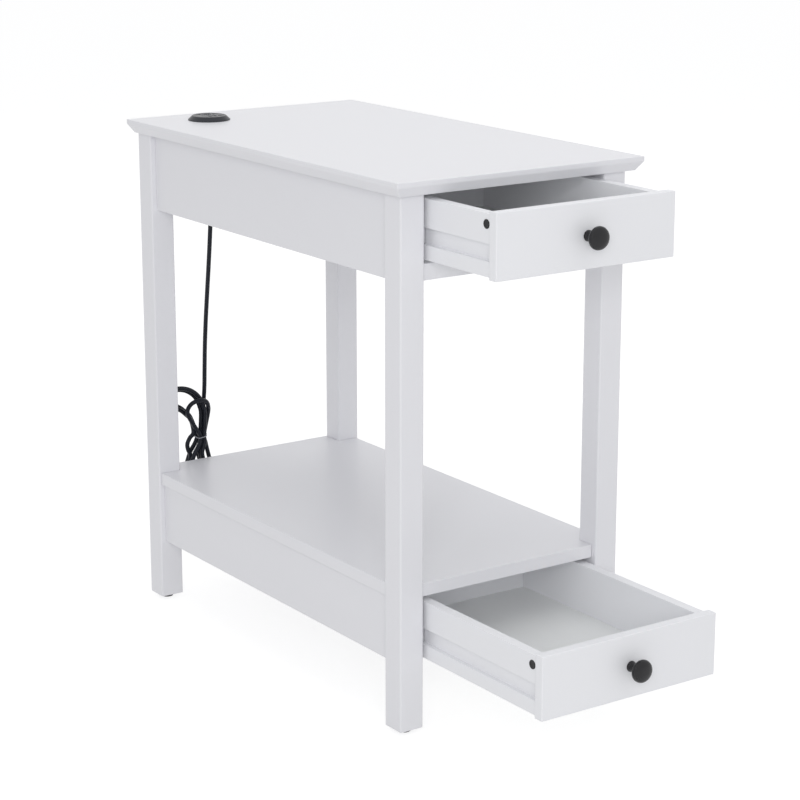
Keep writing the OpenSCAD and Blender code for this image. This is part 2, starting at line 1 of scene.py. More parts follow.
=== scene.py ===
"""Visual model of a narrow white side table: two drawers, a shelf and a power dock with a tied cord.

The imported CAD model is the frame. Each class below dresses one sub-assembly: it takes places from
the frame's nodes, builds the eased boards, turned knobs, moulded parts and the cord, and gives every
piece a node-based finish. Lengths are metres unless a name says otherwise.
"""

import json
import logging
import math
from dataclasses import dataclass
from enum import Enum
from typing import Sequence

import bmesh
import bpy
import numpy as np
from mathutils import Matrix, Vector

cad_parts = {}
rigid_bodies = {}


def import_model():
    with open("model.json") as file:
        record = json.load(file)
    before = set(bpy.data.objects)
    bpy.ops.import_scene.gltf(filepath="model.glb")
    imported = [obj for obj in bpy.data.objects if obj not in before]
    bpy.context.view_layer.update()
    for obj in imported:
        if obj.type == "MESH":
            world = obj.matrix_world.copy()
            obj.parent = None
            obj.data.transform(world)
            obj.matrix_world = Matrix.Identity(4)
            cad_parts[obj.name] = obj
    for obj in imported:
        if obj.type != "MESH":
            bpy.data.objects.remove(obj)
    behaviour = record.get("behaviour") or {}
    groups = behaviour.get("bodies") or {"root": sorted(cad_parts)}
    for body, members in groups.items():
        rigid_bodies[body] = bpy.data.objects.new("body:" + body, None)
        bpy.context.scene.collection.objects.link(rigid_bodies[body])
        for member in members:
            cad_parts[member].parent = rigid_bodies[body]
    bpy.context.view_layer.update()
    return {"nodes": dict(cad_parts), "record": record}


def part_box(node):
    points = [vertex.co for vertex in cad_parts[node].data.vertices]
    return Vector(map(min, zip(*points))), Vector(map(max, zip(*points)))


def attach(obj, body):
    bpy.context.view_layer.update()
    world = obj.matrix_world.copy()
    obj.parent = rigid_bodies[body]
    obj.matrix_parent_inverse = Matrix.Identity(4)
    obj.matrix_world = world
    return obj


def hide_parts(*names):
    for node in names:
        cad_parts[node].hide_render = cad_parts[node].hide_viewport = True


logging.basicConfig(level=logging.INFO, format="%(name)s: %(message)s")
LOG = logging.getLogger("side_table")
MM = 0.001
FLAT_AREA = 1e-3
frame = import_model()

Point = tuple[float, float, float]


class Body(str, Enum):
    """The frame's rigid bodies."""

    CARCASS = "carcass"
    UPPER = "upper_drawer"
    LOWER = "lower_drawer"


class Axis(Enum):
    """The direction that an outline is extruded along, with the two directions it is drawn in."""

    X = (1, 2, 0)
    Y = (0, 2, 1)
    Z = (0, 1, 2)


# ---------------------------------------------------------------- shader node groups


@dataclass(frozen=True)
class Socket:
    """One input or output of a node group."""

    name: str
    kind: str = "NodeSocketFloat"
    value: float = 0.0


class Group:
    """A shader node group under construction."""

    def __init__(self, name: str, inputs: Sequence[Socket], outputs: Sequence[Socket]) -> None:
        """Starts the group.

        Args:
            name: the group's name.
            inputs: its input sockets, with their defaults.
            outputs: its output sockets.
        """
        self.tree = bpy.data.node_groups.new(name, "ShaderNodeTree")
        for socket in inputs:
            made = self.tree.interface.new_socket(socket.name, in_out="INPUT", socket_type=socket.kind)
            if socket.kind == "NodeSocketFloat":
                made.default_value = socket.value
        for socket in outputs:
            self.tree.interface.new_socket(socket.name, in_out="OUTPUT", socket_type=socket.kind)
        self.source = self.tree.nodes.new("NodeGroupInput")
        self.sink = self.tree.nodes.new("NodeGroupOutput")

    def node(self, kind: str, **settings: object) -> bpy.types.Node:
        """Adds a node and sets its properties."""
        return add_node(self.tree, kind, **settings)

    def link(self, a: bpy.types.NodeSocket, b: bpy.types.NodeSocket) -> None:
        """Links two sockets."""
        self.tree.links.new(a, b)


def add_node(tree: bpy.types.NodeTree, kind: str, **settings: object) -> bpy.types.Node:
    """Adds a node to a tree.

    Args:
        tree: the tree to add it to.
        kind: the node's type name.
        settings: properties to set on it.

    Returns:
        The new node.
    """
    node = tree.nodes.new(kind)
    for key, value in settings.items():
        setattr(node, key, value)
    return node


def maths(tree: bpy.types.NodeTree, operation: str, a: object, b: object) -> bpy.types.NodeSocket:
    """Adds a maths node.

    Args:
        tree: the tree to add it to.
        operation: the operation's name.
        a: the first value, a number or a socket.
        b: the second value, a number or a socket.

    Returns:
        The node's output.
    """
    node = add_node(tree, "ShaderNodeMath", operation=operation)
    for slot, value in zip(node.inputs, (a, b)):
        if isinstance(value, bpy.types.NodeSocket):
            tree.links.new(value, slot)
        else:
            slot.default_value = float(value)
    return node.outputs[0]


def noise(tree: bpy.types.NodeTree, vector: bpy.types.NodeSocket, scale: object, detail: float = 3.0,
          stretch: Point = (1.0, 1.0, 1.0)) -> bpy.types.NodeSocket:
    """Adds a noise texture on a stretched vector.

    Args:
        tree: the tree to add it to.
        vector: the coordinates.
        scale: features per metre, a number or a socket.
        detail: octaves.
        stretch: factors on the three coordinates.

    Returns:
        The texture's value, centred on 0.5.
    """
    mapping = add_node(tree, "ShaderNodeMapping")
    mapping.inputs["Scale"].default_value = stretch
    tree.links.new(vector, mapping.inputs["Vector"])
    texture = add_node(tree, "ShaderNodeTexNoise")
    texture.inputs["Detail"].default_value = detail
    tree.links.new(mapping.outputs[0], texture.inputs["Vector"])
    if isinstance(scale, bpy.types.NodeSocket):
        tree.links.new(scale, texture.inputs["Scale"])
    else:
        texture.inputs["Scale"].default_value = scale
    return texture.outputs["Fac"]


def mottle_group() -> bpy.types.NodeTree:
    """Broad soft variation plus a fine stipple, for paint and moulded plastic.

    Returns:
        A group with inputs Vector, Broad Scale, Fine Scale, Tone, Gloss Mid and Gloss Swing, and
        outputs Tone, Roughness and Height.
    """
    group = Group("mottle", [
        Socket("Vector", "NodeSocketVector"), Socket("Broad Scale", value=6.0), Socket("Fine Scale", value=900.0),
        Socket("Tone", value=0.02), Socket("Gloss Mid", value=0.4), Socket("Gloss Swing", value=0.08),
    ], [Socket("Tone"), Socket("Roughness"), Socket("Height")])
    tree, given = group.tree, group.source.outputs
    broad = noise(tree, given["Vector"], given["Broad Scale"], 4.0)
    fine = noise(tree, given["Vector"], given["Fine Scale"], 2.0)
    centred = maths(tree, "SUBTRACT", broad, 0.5)
    tone = maths(tree, "ADD", 1.0, maths(tree, "MULTIPLY", centred, given["Tone"]))
    swing = maths(tree, "MULTIPLY", centred, given["Gloss Swing"])
    group.link(tone, group.sink.inputs["Tone"])
    group.link(maths(tree, "ADD", given["Gloss Mid"], swing), group.sink.inputs["Roughness"])
    group.link(maths(tree, "ADD", maths(tree, "MULTIPLY", fine, 0.7), maths(tree, "MULTIPLY", broad, 0.3)),
               group.sink.inputs["Height"])
    return tree


def grain_group() -> bpy.types.NodeTree:
    """Long fibres along Y, for bare wood, brushed metal and laminate.

    Returns:
        A group with inputs Vector, Scale and Contrast, and outputs Mask and Height.
    """
    group = Group("grain", [
        Socket("Vector", "NodeSocketVector"), Socket("Scale", value=60.0), Socket("Contrast", value=1.0),
    ], [Socket("Mask"), Socket("Height")])
    tree, given = group.tree, group.source.outputs
    rings = noise(tree, given["Vector"], given["Scale"], 5.0, (1.0, 0.06, 1.0))
    pores = noise(tree, given["Vector"], maths(tree, "MULTIPLY", given["Scale"], 9.0), 2.0, (1.0, 0.03, 1.0))
    centred = maths(tree, "SUBTRACT", maths(tree, "ADD", maths(tree, "MULTIPLY", rings, 0.65),
                                            maths(tree, "MULTIPLY", pores, 0.35)), 0.5)
    mask = maths(tree, "ADD", 0.5, maths(tree, "MULTIPLY", centred, given["Contrast"]))
    group.link(mask, group.sink.inputs["Mask"])
    group.link(pores, group.sink.inputs["Height"])
    return tree


class Groups:
    """The shared shader node groups, built once."""

    mottle: bpy.types.NodeTree
    grain: bpy.types.NodeTree

    @classmethod
    def build(cls) -> None:
        """Builds every shared group."""
        cls.mottle = mottle_group()
        cls.grain = grain_group()


# ---------------------------------------------------------------- finishes


@dataclass(frozen=True)
class Finish:
    """A finish: a base colour with the mottle group's variation and stipple."""

    name: str
    colour: Point
    roughness: float = 0.4
    swing: float = 0.1
    tone: float = 0.03
    broad: float = 7.0
    fine: float = 900.0
    bump: float = 0.02
    bump_depth: float = 0.0002
    metallic: float = 0.0
    specular: float = 0.5
    coat: float = 0.0
    grain: float = 0.0
    grain_scale: float = 60.0
    dark: Point = (0.0, 0.0, 0.0)

    def build(self) -> bpy.types.Material:
        """Builds the material.

        Returns:
            The Blender material, which reads Object coordinates.
        """
        material = bpy.data.materials.new(self.name)
        material.use_nodes = True
        material.diffuse_color = (*self.colour, 1.0)
        tree = material.node_tree
        shader = tree.nodes["Principled BSDF"]
        place = add_node(tree, "ShaderNodeTexCoord")
        film = add_node(tree, "ShaderNodeGroup", node_tree=Groups.mottle)
        tree.links.new(place.outputs["Object"], film.inputs["Vector"])
        for key, value in (("Broad Scale", self.broad), ("Fine Scale", self.fine), ("Tone", self.tone),
                           ("Gloss Mid", self.roughness), ("Gloss Swing", self.swing)):
            film.inputs[key].default_value = value
        colour = self._colour(tree, film, place)
        tree.links.new(colour, shader.inputs["Base Color"])
        tree.links.new(film.outputs["Roughness"], shader.inputs["Roughness"])
        bump = add_node(tree, "ShaderNodeBump")
        bump.inputs["Strength"].default_value = self.bump
        bump.inputs["Distance"].default_value = self.bump_depth
        tree.links.new(film.outputs["Height"], bump.inputs["Height"])
        tree.links.new(bump.outputs["Normal"], shader.inputs["Normal"])
        shader.inputs["Metallic"].default_value = self.metallic
        shader.inputs["Specular IOR Level"].default_value = self.specular
        shader.inputs["Coat Weight"].default_value = self.coat
        return material

    def _colour(self, tree: bpy.types.NodeTree, film: bpy.types.Node,
                place: bpy.types.Node) -> bpy.types.NodeSocket:
        """Mixes the grain's two colours, or takes the plain one, and applies the tone."""
        base = add_node(tree, "ShaderNodeMix", data_type="RGBA")
        base.inputs["A"].default_value = (*(self.dark if self.grain else self.colour), 1.0)
        base.inputs["B"].default_value = (*self.colour, 1.0)
        base.inputs["Factor"].default_value = 1.0
        if self.grain:
            fibre = add_node(tree, "ShaderNodeGroup", node_tree=Groups.grain)
            fibre.inputs["Scale"].default_value = self.grain_scale
            fibre.inputs["Contrast"].default_value = self.grain
            tree.links.new(place.outputs["Object"], fibre.inputs["Vector"])
            tree.links.new(fibre.outputs["Mask"], base.inputs["Factor"])
        tint = add_node(tree, "ShaderNodeVectorMath", operation="SCALE")
        tree.links.new(base.outputs["Result"], tint.inputs[0])
        tree.links.new(film.outputs["Tone"], tint.inputs["Scale"])
        return tint.outputs[0]


class Finishes:
    """Every finish on the table, built once and looked up by slot name."""

    SPECS = (
        Finish("white_paint", (0.80, 0.80, 0.83), roughness=0.38, swing=0.12, tone=0.025, fine=700.0, bump=0.10,
               coat=0.06),
        # Painted light in part: drawer_white is the drawer boards' own white, set lighter than white_paint to lift the
        # drawers' shaded insides; the raise lightens the fronts too.
        Finish("drawer_white", (0.85, 0.855, 0.88), roughness=0.42, swing=0.12, tone=0.03, fine=750.0, bump=0.10),
        Finish("runner_white", (0.74, 0.745, 0.77), roughness=0.5, swing=0.1, tone=0.05, fine=600.0, bump=0.12),
        # Painted light: liner_board's colour is raised above the board's own tone so that the drawers' shaded insides
        # look brighter.
        Finish("liner_board", (0.90, 0.91, 0.905), roughness=0.55, swing=0.1, tone=0.03, fine=1400.0, bump=0.12,
               grain=0.5, grain_scale=120.0, dark=(0.84, 0.855, 0.85)),
        Finish("beech", (0.62, 0.42, 0.24), roughness=0.6, tone=0.1, fine=500.0, bump=0.3, grain=1.6,
               grain_scale=180.0, dark=(0.42, 0.26, 0.13)),
        Finish("steel", (0.60, 0.61, 0.63), roughness=0.3, swing=0.25, tone=0.1, broad=120.0, metallic=1.0,
               grain=1.2, grain_scale=700.0, dark=(0.45, 0.46, 0.48)),
        Finish("dock_plastic", (0.026, 0.028, 0.034), specular=0.3, roughness=0.33, swing=0.1, tone=0.1,
               fine=2600.0, bump=0.35, bump_depth=0.0001),
        Finish("cap_plastic", (0.012, 0.012, 0.014), specular=0.25, roughness=0.4, fine=2000.0, bump=0.15),
        Finish("glide_plastic", (0.05, 0.05, 0.055), roughness=0.5, fine=2000.0, bump=0.2),
        Finish("cord_black", (0.010, 0.012, 0.018), roughness=0.30, swing=0.2, tone=0.4, broad=60.0, fine=1500.0,
               bump=0.15, bump_depth=0.0001, specular=0.22),
        Finish("tie_plastic", (0.30, 0.31, 0.34), roughness=0.3, fine=1500.0, bump=0.1),
        Finish("brass", (0.72, 0.52, 0.24), roughness=0.24, swing=0.2, tone=0.08, broad=90.0, metallic=1.0,
               grain=0.8, grain_scale=900.0, dark=(0.58, 0.40, 0.17)),
        Finish("board_laminate", (0.02, 0.12, 0.05), roughness=0.35, tone=0.15, fine=800.0, bump=0.2),
        Finish("knob_black", (0.012, 0.012, 0.014), roughness=0.22, swing=0.12, tone=0.15, broad=60.0,
               fine=1800.0, bump=0.12, bump_depth=0.0001, specular=0.35),
    )
    made: dict[str, bpy.types.Material] = {}

    @classmethod
    def build(cls) -> None:
        """Builds every material."""
        cls.made = {spec.name: spec.build() for spec in cls.SPECS}

    @classmethod
    def dress(cls, piece: bpy.types.Object, slot: str) -> bpy.types.Object:
        """Gives a piece one finish.

        Args:
            piece: the object.
            slot: the finish's name, which is also the record's slot.

        Returns:
            The same object.
        """
        piece.data.materials.clear()
        piece.data.materials.append(cls.made[slot])
        return piece


def slots_by_node() -> dict[str, str]:
    """Returns the record's material slot of every CAD node."""
    return {row["node"]: row["material_slot"] for row in frame["record"]["subparts"]}


SLOT_OF = slots_by_node()


# ---------------------------------------------------------------- mesh helpers


def place(piece: bpy.types.Object, body: Body, slot: str, *nodes: str) -> bpy.types.Object:
    """Finishes a new piece: its material, its body, its slot and the nodes it stands for.

    Args:
        piece: the object, with its place in its mesh.
        body: the body it rides on.
        slot: the material slot.
        nodes: the CAD nodes it replaces.

    Returns:
        The same object.
    """
    Finishes.dress(piece, slot)
    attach(piece, body.value)
    if nodes:
        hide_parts(*nodes)
    LOG.info("%s on %s, %d faces", piece.name, body.value, len(piece.data.polygons))
    return piece


def object_from(name: str, mesh: bmesh.types.BMesh, smooth: float = 35.0) -> bpy.types.Object:
    """Turns a bmesh into a linked object with outward normals.

    Args:
        name: the object's name.
        mesh: the bmesh, which is freed.
        smooth: faces that meet under this angle, in degrees, shade smoothly.

    Returns:
        The object.
    """
    bmesh.ops.remove_doubles(mesh, verts=mesh.verts, dist=1e-6)
    bmesh.ops.recalc_face_normals(mesh, faces=mesh.faces)
    for edge in mesh.edges:
        edge.smooth = len(edge.link_faces) == 2 and edge.calc_face_angle(math.pi) < math.radians(smooth)
        if edge.smooth and edge.calc_face_angle(0.0) > math.radians(8):
            areas = sorted(face.calc_area() for face in edge.link_faces)
            edge.smooth = areas[1] < 12 * areas[0]
    for face in mesh.faces:
        face.smooth = face.calc_area() < FLAT_AREA
    data = bpy.data.meshes.new(name)
    mesh.to_mesh(data)
    mesh.free()
    piece = bpy.data.objects.new(name, data)
    bpy.context.scene.collection.objects.link(piece)
    return piece


def extruded(outline: Sequence[tuple[float, float]], axis: Axis, low: float, high: float,
             ease: float = 0.0008, segments: int = 3) -> bmesh.types.BMesh:
    """Extrudes a closed outline and eases its sharp edges.

    Args:
        outline: points in the axis's two drawing directions.
        axis: the direction of extrusion.
        low: the start along it.
        high: the end along it.
        ease: radius of the eased edges, or 0 to leave them sharp.
        segments: steps across an eased edge.

    Returns:
        The closed mesh.
    """
    mesh = bmesh.new()
    first, second, along = axis.value
    rings = []
    for level in (low, high):
        ring = []
        for a, b in outline:
            point = [0.0, 0.0, 0.0]
            point[first], point[second], point[along] = a, b, level
            ring.append(mesh.verts.new(point))
        rings.append(ring)
    bridge(mesh, rings)
    bmesh.ops.recalc_face_normals(mesh, faces=mesh.faces)
    ease_edges(mesh, ease, segments)
    return mesh


def ease_edges(mesh: bmesh.types.BMesh, radius: float, segments: int = 3) -> None:
    """Rounds every edge that turns by more than 30 degrees."""
    if radius <= 0:
        return
    sharp = [e for e in mesh.edges if len(e.link_faces) == 2 and e.calc_face_angle(0.0) > math.radians(30)]
    bmesh.ops.bevel(mesh, geom=sharp, offset=radius, segments=segments, profile=0.5, affect="EDGES",
                    clamp_overlap=True)


def bridge(mesh: bmesh.types.BMesh, rings: Sequence[Sequence[bmesh.types.BMVert]], closed: bool = True) -> None:
    """Joins rings of equally many points with faces, and caps the two ends.

    Args:
        mesh: the mesh that holds them.
        rings: the rings, in order.
        closed: whether to cap the ends.
    """
    count = len(rings[0])
    for a, b in zip(rings, rings[1:]):
        for k in range(count):
            m = (k + 1) % count
            mesh.faces.new((a[k], a[m], b[m], b[k]))
    if closed:
        mesh.faces.new(rings[0])
        mesh.faces.new(rings[-1])


def absorb(mesh: bmesh.types.BMesh, part: bmesh.types.BMesh) -> None:
    """Adds a part to a mesh, and frees the part."""
    data = bpy.data.meshes.new("part")
    part.to_mesh(data)
    part.free()
    mesh.from_mesh(data)
    bpy.data.meshes.remove(data)


def carve(piece: bpy.types.Object, cutters: Sequence[bpy.types.Object]) -> bpy.types.Mesh:
    """Cuts shapes out of a piece and removes the cutters.

    Args:
        piece: the piece, which gets a new plain mesh.
        cutters: the shapes to take away.

    Returns:
        The new mesh.
    """
    for cutter in cutters:
        cut = piece.modifiers.new("cut", "BOOLEAN")
        cut.object = cutter
        cut.solver = "EXACT"
    graph = bpy.context.evaluated_depsgraph_get()
    mesh = bpy.data.meshes.new_from_object(piece.evaluated_get(graph))
    piece.modifiers.clear()
    piece.data = mesh
    for cutter in cutters:
        bpy.data.objects.remove(cutter)
    return mesh


def rectangle(low: Vector, high: Vector, axis: Axis) -> list[tuple[float, float]]:
    """Returns a box's outline across an axis."""
    a, b, _ = axis.value
    return [(low[a], low[b]), (high[a], low[b]), (high[a], high[b]), (low[a], high[b])]


def rounded_rectangle(half_w: float, half_h: float, radius: float, steps: int = 6) -> list[tuple[float, float]]:
    """Returns a rectangle with round corners about the origin, anticlockwise."""
    points = []
    for quarter, (sx, sy) in enumerate(((1, 1), (-1, 1), (-1, -1), (1, -1))):
        for k in range(steps + 1):
            angle = math.radians(90 * quarter + 90 * k / steps)
            points.append((sx * (half_w - radius) + radius * math.cos(angle),
                           sy * (half_h - radius) + radius * math.sin(angle)))
    return points


def board(node: str, body: Body, ease: float = 0.0008) -> bpy.types.Object:
    """Replaces a plain board with one whose edges are eased.

    Args:
        node: the CAD node.
        body: the body it rides on.
        ease: radius of the eased edges.

    Returns:
        The new piece.
    """
    low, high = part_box(node)
    mesh = extruded(rectangle(low, high, Axis.Z), Axis.Z, low.z, high.z, ease)
    return place(object_from(f"{node}_board", mesh), body, SLOT_OF[node], node)


def turned(profile: Sequence[tuple[float, float]], centre: Vector, axis: Vector, steps: int = 72) -> bmesh.types.BMesh:
    """Turns a profile of (radius, distance) about an axis.

    Args:
        profile: radius and distance along the axis, from one end to the other.
        centre: where distance is 0.
        axis: the unit direction of turning.
        steps: facets round.

    Returns:
        The mesh, closed where the profile starts and ends at radius 0.
    """
    mesh = bmesh.new()
    side = Vector((0, 0, 1)) if abs(axis.z) < 0.9 else Vector((1, 0, 0))
    u = axis.cross(side).normalized()
    v = axis.cross(u)
    rings: list[list[bmesh.types.BMVert]] = []
    for radius, along in profile:
        if radius < 1e-7:
            rings.append([mesh.verts.new(centre + axis * along)])
            continue
        ring = []
        for k in range(steps):
            angle = 2 * math.pi * k / steps
            ring.append(mesh.verts.new(centre + axis * along + (u * math.cos(angle) + v * math.sin(angle)) * radius))
        rings.append(ring)
    for a, b in zip(rings, rings[1:]):
        for k in range(steps):
            m = (k + 1) % steps
            corners = [a[k % len(a)], a[m % len(a)], b[m % len(b)], b[k % len(b)]]
            unique = list(dict.fromkeys(corners))
            if len(unique) > 2:
                mesh.faces.new(unique)
    return mesh


def rounded_profile(points: Sequence[tuple[float, float]], radius: float, steps: int = 5) -> list[tuple[float, float]]:
    """Rounds the corners of an open profile.

    Args:
        points: its corners.
        radius: the largest rounding.
        steps: points on each round.

    Returns:
        The rounded profile.
    """
    made = [points[0]]
    for before, here, after in zip(points, points[1:], points[2:]):
        p, q, r = Vector(before), Vector(here), Vector(after)
        reach = min(radius, (q - p).length * 0.45, (r - q).length * 0.45)
        start, end = q + (p - q).normalized() * reach, q + (r - q).normalized() * reach
        for k in range(steps + 1):
            t = k / steps
            spot = start * (1 - t) ** 2 + q * 2 * t * (1 - t) + end * t * t
            made.append((spot.x, spot.y))
    made.append(points[-1])
    return made


# ---------------------------------------------------------------- geometry nodes


class GeometryTree:
    """A Geometry Nodes tree under construction, and the steps that turn its result into a mesh."""

    def __init__(self, name: str, inputs: dict[str, tuple[str, object]]) -> None:
        """Starts the tree.

        Args:
            name: the tree's name.
            inputs: socket name to its type and value.
        """
        self.tree = bpy.data.node_groups.new(name, "GeometryNodeTree")
        self.ids: dict[str, str] = {}
        self.values = {key: value for key, (_, value) in inputs.items()}
        for key, (kind, _) in inputs.items():
            self.ids[key] = self.tree.interface.new_socket(key, in_out="INPUT", socket_type=kind).identifier
        self.tree.interface.new_socket("Geometry", in_out="OUTPUT", socket_type="NodeSocketGeometry")
        self.source = self.tree.nodes.new("NodeGroupInput")
        self.sink = self.tree.nodes.new("NodeGroupOutput")

    def node(self, kind: str, links: dict[str, bpy.types.NodeSocket] | None = None, **settings: object
             ) -> bpy.types.Node:
        """Adds a node, links its inputs and sets its properties."""
        made = add_node(self.tree, kind, **settings)
        for key, socket in (links or {}).items():
            self.tree.links.new(socket, made.inputs[key])
        return made

    def given(self, name: str) -> bpy.types.NodeSocket:
        """Returns the group input of that name."""
        return self.source.outputs[name]

    def bake(self, name: str, geometry: bpy.types.NodeSocket, slot: str) -> bpy.types.Object:
        """Ends the tree in Realize Instances and Set Material, and makes its result a plain mesh.

        Args:
            name: the new object's name.
            geometry: the socket that holds the result.
            slot: the finish's name.

        Returns:
            The object, with no modifier left on it.
        """
        real = self.node("GeometryNodeRealizeInstances", {"Geometry": geometry})
        dressed = self.node("GeometryNodeSetMaterial", {"Geometry": real.outputs[0]})
        dressed.inputs["Material"].default_value = Finishes.made[slot]
        self.tree.links.new(dressed.outputs[0], self.sink.inputs["Geometry"])
        holder = bpy.data.objects.new(name, bpy.data.meshes.new(name))
        bpy.context.scene.collection.objects.link(holder)
        modifier = holder.modifiers.new("build", "NODES")
        modifier.node_group = self.tree
        for key, identifier in self.ids.items():
            modifier[identifier] = self.values[key]
        bpy.context.view_layer.update()
        graph = bpy.context.evaluated_depsgraph_get()
        mesh = bpy.data.meshes.new_from_object(holder.evaluated_get(graph))
        holder.modifiers.remove(modifier)
        holder.data = mesh
        mesh.name = name
        return holder


def repeated(name: str, part: bpy.types.Object, spots: Sequence[Point], turns: Sequence[Point], slot: str
             ) -> bpy.types.Object:
    """Repeats one small part at given places with Geometry Nodes.

    Args:
        name: the result's name.
        part: the part, modelled about the origin; it is removed afterwards.
        spots: where each copy goes.
        turns: each copy's rotation, in radians.
        slot: the finish's name.

    Returns:
        One plain mesh object holding every copy.
    """
    carrier = bpy.data.meshes.new(f"{name}_spots")
    carrier.from_pydata([Vector(s) for s in spots], [], [])
    turned_by = carrier.attributes.new("turn", "FLOAT_VECTOR", "POINT")
    turned_by.data.foreach_set("vector", np.array(turns, dtype=np.float32).ravel())
    points = bpy.data.objects.new(f"{name}_spots", carrier)
    bpy.context.scene.collection.objects.link(points)
    build = GeometryTree(name, {"Places": ("NodeSocketObject", points), "Part": ("NodeSocketObject", part),
                                "Size": ("NodeSocketFloat", 1.0)})
    places = build.node("GeometryNodeObjectInfo", {"Object": build.given("Places")})
    shape = build.node("GeometryNodeObjectInfo", {"Object": build.given("Part")})
    turn = build.node("GeometryNodeInputNamedAttribute", data_type="FLOAT_VECTOR")
    turn.inputs["Name"].default_value = "turn"
    copies = build.node("GeometryNodeInstanceOnPoints", {
        "Points": places.outputs["Geometry"], "Instance": shape.outputs["Geometry"],
        "Rotation": turn.outputs["Attribute"], "Scale": build.given("Size")})
    piece = build.bake(name, copies.outputs[0], slot)
    for helper in (points, part):
        bpy.data.objects.remove(helper)
    return piece


# ---------------------------------------------------------------- studio


@dataclass
class Studio:
    """The camera, the lamps, the white surroundings and the floor."""

    place_of_camera: Point = (-1.4639, -2.0800, 0.9912)
    heading: float = 0.6022
    pitch: float = 0.2579
    lens: float = 103.5
    floor_half: float = 40.0
    floor_tone: float = 0.40
    floor_lift: float = 0.755
    floor_fill: float = 0.36
    world_strength: float = 0.60

    def build(self) -> None:
        """Builds everything."""
        self.camera()
        self.world()
        self.floor()
        self.lamp("overhead", (0.3, -0.2, 3.2), (0.0, 0.0, 0.3), 2.6, 20.0, False)
        self.lamp("key", (-2.05, -2.9, 1.45), (0.0, -0.1, 0.3), 1.5, 36.0, False)
        self.lamp("rear", (2.4, 3.2, 1.8), (0.0, 0.1, 0.3), 1.8, 16.0, False)
        self.lamp("left", (-3.4, -1.2, 1.9), (0.0, 0.0, 0.3), 1.0, 3.0, True)
        bpy.context.scene.view_settings.view_transform = "Standard"

    def camera(self) -> None:
        """Builds the camera at the product's three-quarter view."""
        data = bpy.data.cameras.new("camera")
        data.lens = self.lens
        data.sensor_width = 36.0
        data.clip_end = 200.0
        eye = bpy.data.objects.new("camera", data)
        eye.location = self.place_of_camera
        level = math.cos(self.pitch)
        look = Vector((math.sin(self.heading) * level, math.cos(self.heading) * level, -math.sin(self.pitch)))
        eye.rotation_mode = "QUATERNION"
        eye.rotation_quaternion = look.to_track_quat("-Z", "Y")
        bpy.context.scene.collection.objects.link(eye)
        bpy.context.scene.camera = eye

    def world(self) -> None:
        """Soft white light all round, seen as plain white by the camera and in reflections."""
        world = bpy.data.worlds.new("studio")
        bpy.context.scene.world = world
        world.use_nodes = True
        tree = world.node_tree
        lit = tree.nodes["Background"]
        lit.inputs["Color"].default_value = (0.98, 0.985, 1.0, 1.0)
        lit.inputs["Strength"].default_value = self.world_strength
        seen = add_node(tree, "ShaderNodeBackground")
        seen.inputs["Strength"].default_value = 1.0
        seen.inputs["Color"].default_value = (1.0, 1.0, 1.0, 1.0)
        mix = add_node(tree, "ShaderNodeMixShader")
        tree.links.new(self.seen_rays(tree), mix.inputs["Fac"])
        tree.links.new(lit.outputs[0], mix.inputs[1])
        tree.links.new(seen.outputs[0], mix.inputs[2])
        tree.links.new(mix.outputs[0], tree.nodes["World Output"].inputs["Surface"])

    @staticmethod
    def seen_rays(tree: bpy.types.NodeTree) -> bpy.types.NodeSocket:
        """Returns a mask that is 1 for camera, transmission and glossy rays."""
        path = add_node(tree, "ShaderNodeLightPath")
        seen = maths(tree, "MAXIMUM", path.outputs["Is Camera Ray"], path.outputs["Is Transmission Ray"])
        return maths(tree, "MAXIMUM", seen, path.outputs["Is Glossy Ray"])

    def floor(self) -> None:
        """A wide white floor that keeps the table's shadow."""
        mesh = bmesh.new()
        half = self.floor_half
        mesh.faces.new([mesh.verts.new((x, y, 0.0)) for x, y in ((-half, -half), (half, -half), (half, half),
                                                                 (-half, half))])
        floor = object_from("floor", mesh)
        material = bpy.data.materials.new("floor")
        material.use_nodes = True
        tree = material.node_tree
        tree.nodes.remove(tree.nodes["Principled BSDF"])
        matt = add_node(tree, "ShaderNodeBsdfDiffuse")
        matt.inputs["Color"].default_value = (self.floor_tone,) * 3 + (1.0,)
        glow = add_node(tree, "ShaderNodeEmission")
        glow.inputs["Color"].default_value = (1.0, 1.0, 1.0, 1.0)
        extra = maths(tree, "MULTIPLY", self.seen_rays(tree), self.floor_lift - self.floor_fill)
        tree.links.new(maths(tree, "ADD", extra, self.floor_fill), glow.inputs["Strength"])
        both = add_node(tree, "ShaderNodeAddShader")
        tree.links.new(matt.outputs[0], both.inputs[0])
        tree.links.new(glow.outputs[0], both.inputs[1])
        tree.links.new(both.outputs[0], tree.nodes["Material Output"].inputs["Surface"])
        floor.data.materials.append(material)

    @staticmethod
    def lamp(name: str, place_of: Point, target: Point, size: float, power: float, glints: bool) -> None:
        """Adds a square soft lamp.

        Args:
            name: its name.
            place_of: where it stands.
            target: what it points at.
            size: the length of its side.
            power: its power in watts.
            glints: whether it shows as a highlight.
        """
        data = bpy.data.lights.new(name, "AREA")
        data.shape = "SQUARE"
        data.size = size
        data.energy = power
        lamp = bpy.data.objects.new(name, data)
        lamp.visible_glossy = glints
        lamp.location = place_of
        lamp.rotation_mode = "QUATERNION"
        lamp.rotation_quaternion = (Vector(target) - Vector(place_of)).to_track_quat("-Z", "Y")
        bpy.context.scene.collection.objects.link(lamp)


# ---------------------------------------------------------------- the cord


class Slot(Enum):
    """A strand's place in the waist of the hank, as sixths of a turn from the right; None is the middle."""

    RIGHT = 0
    BACK_RIGHT = 1
    BACK_LEFT = 2
    LEFT = 3
    FRONT_LEFT = 4
    FRONT_RIGHT = 5
    CENTRE = None


@dataclass
class Turn:
    """One turn of the hank: down through the waist, round a lower fold, up, and over an upper loop."""

    down: Slot
    up: Slot
    next_down: Slot
    plane: float
    inset: float
    arch: bool
    bows_out: bool = False


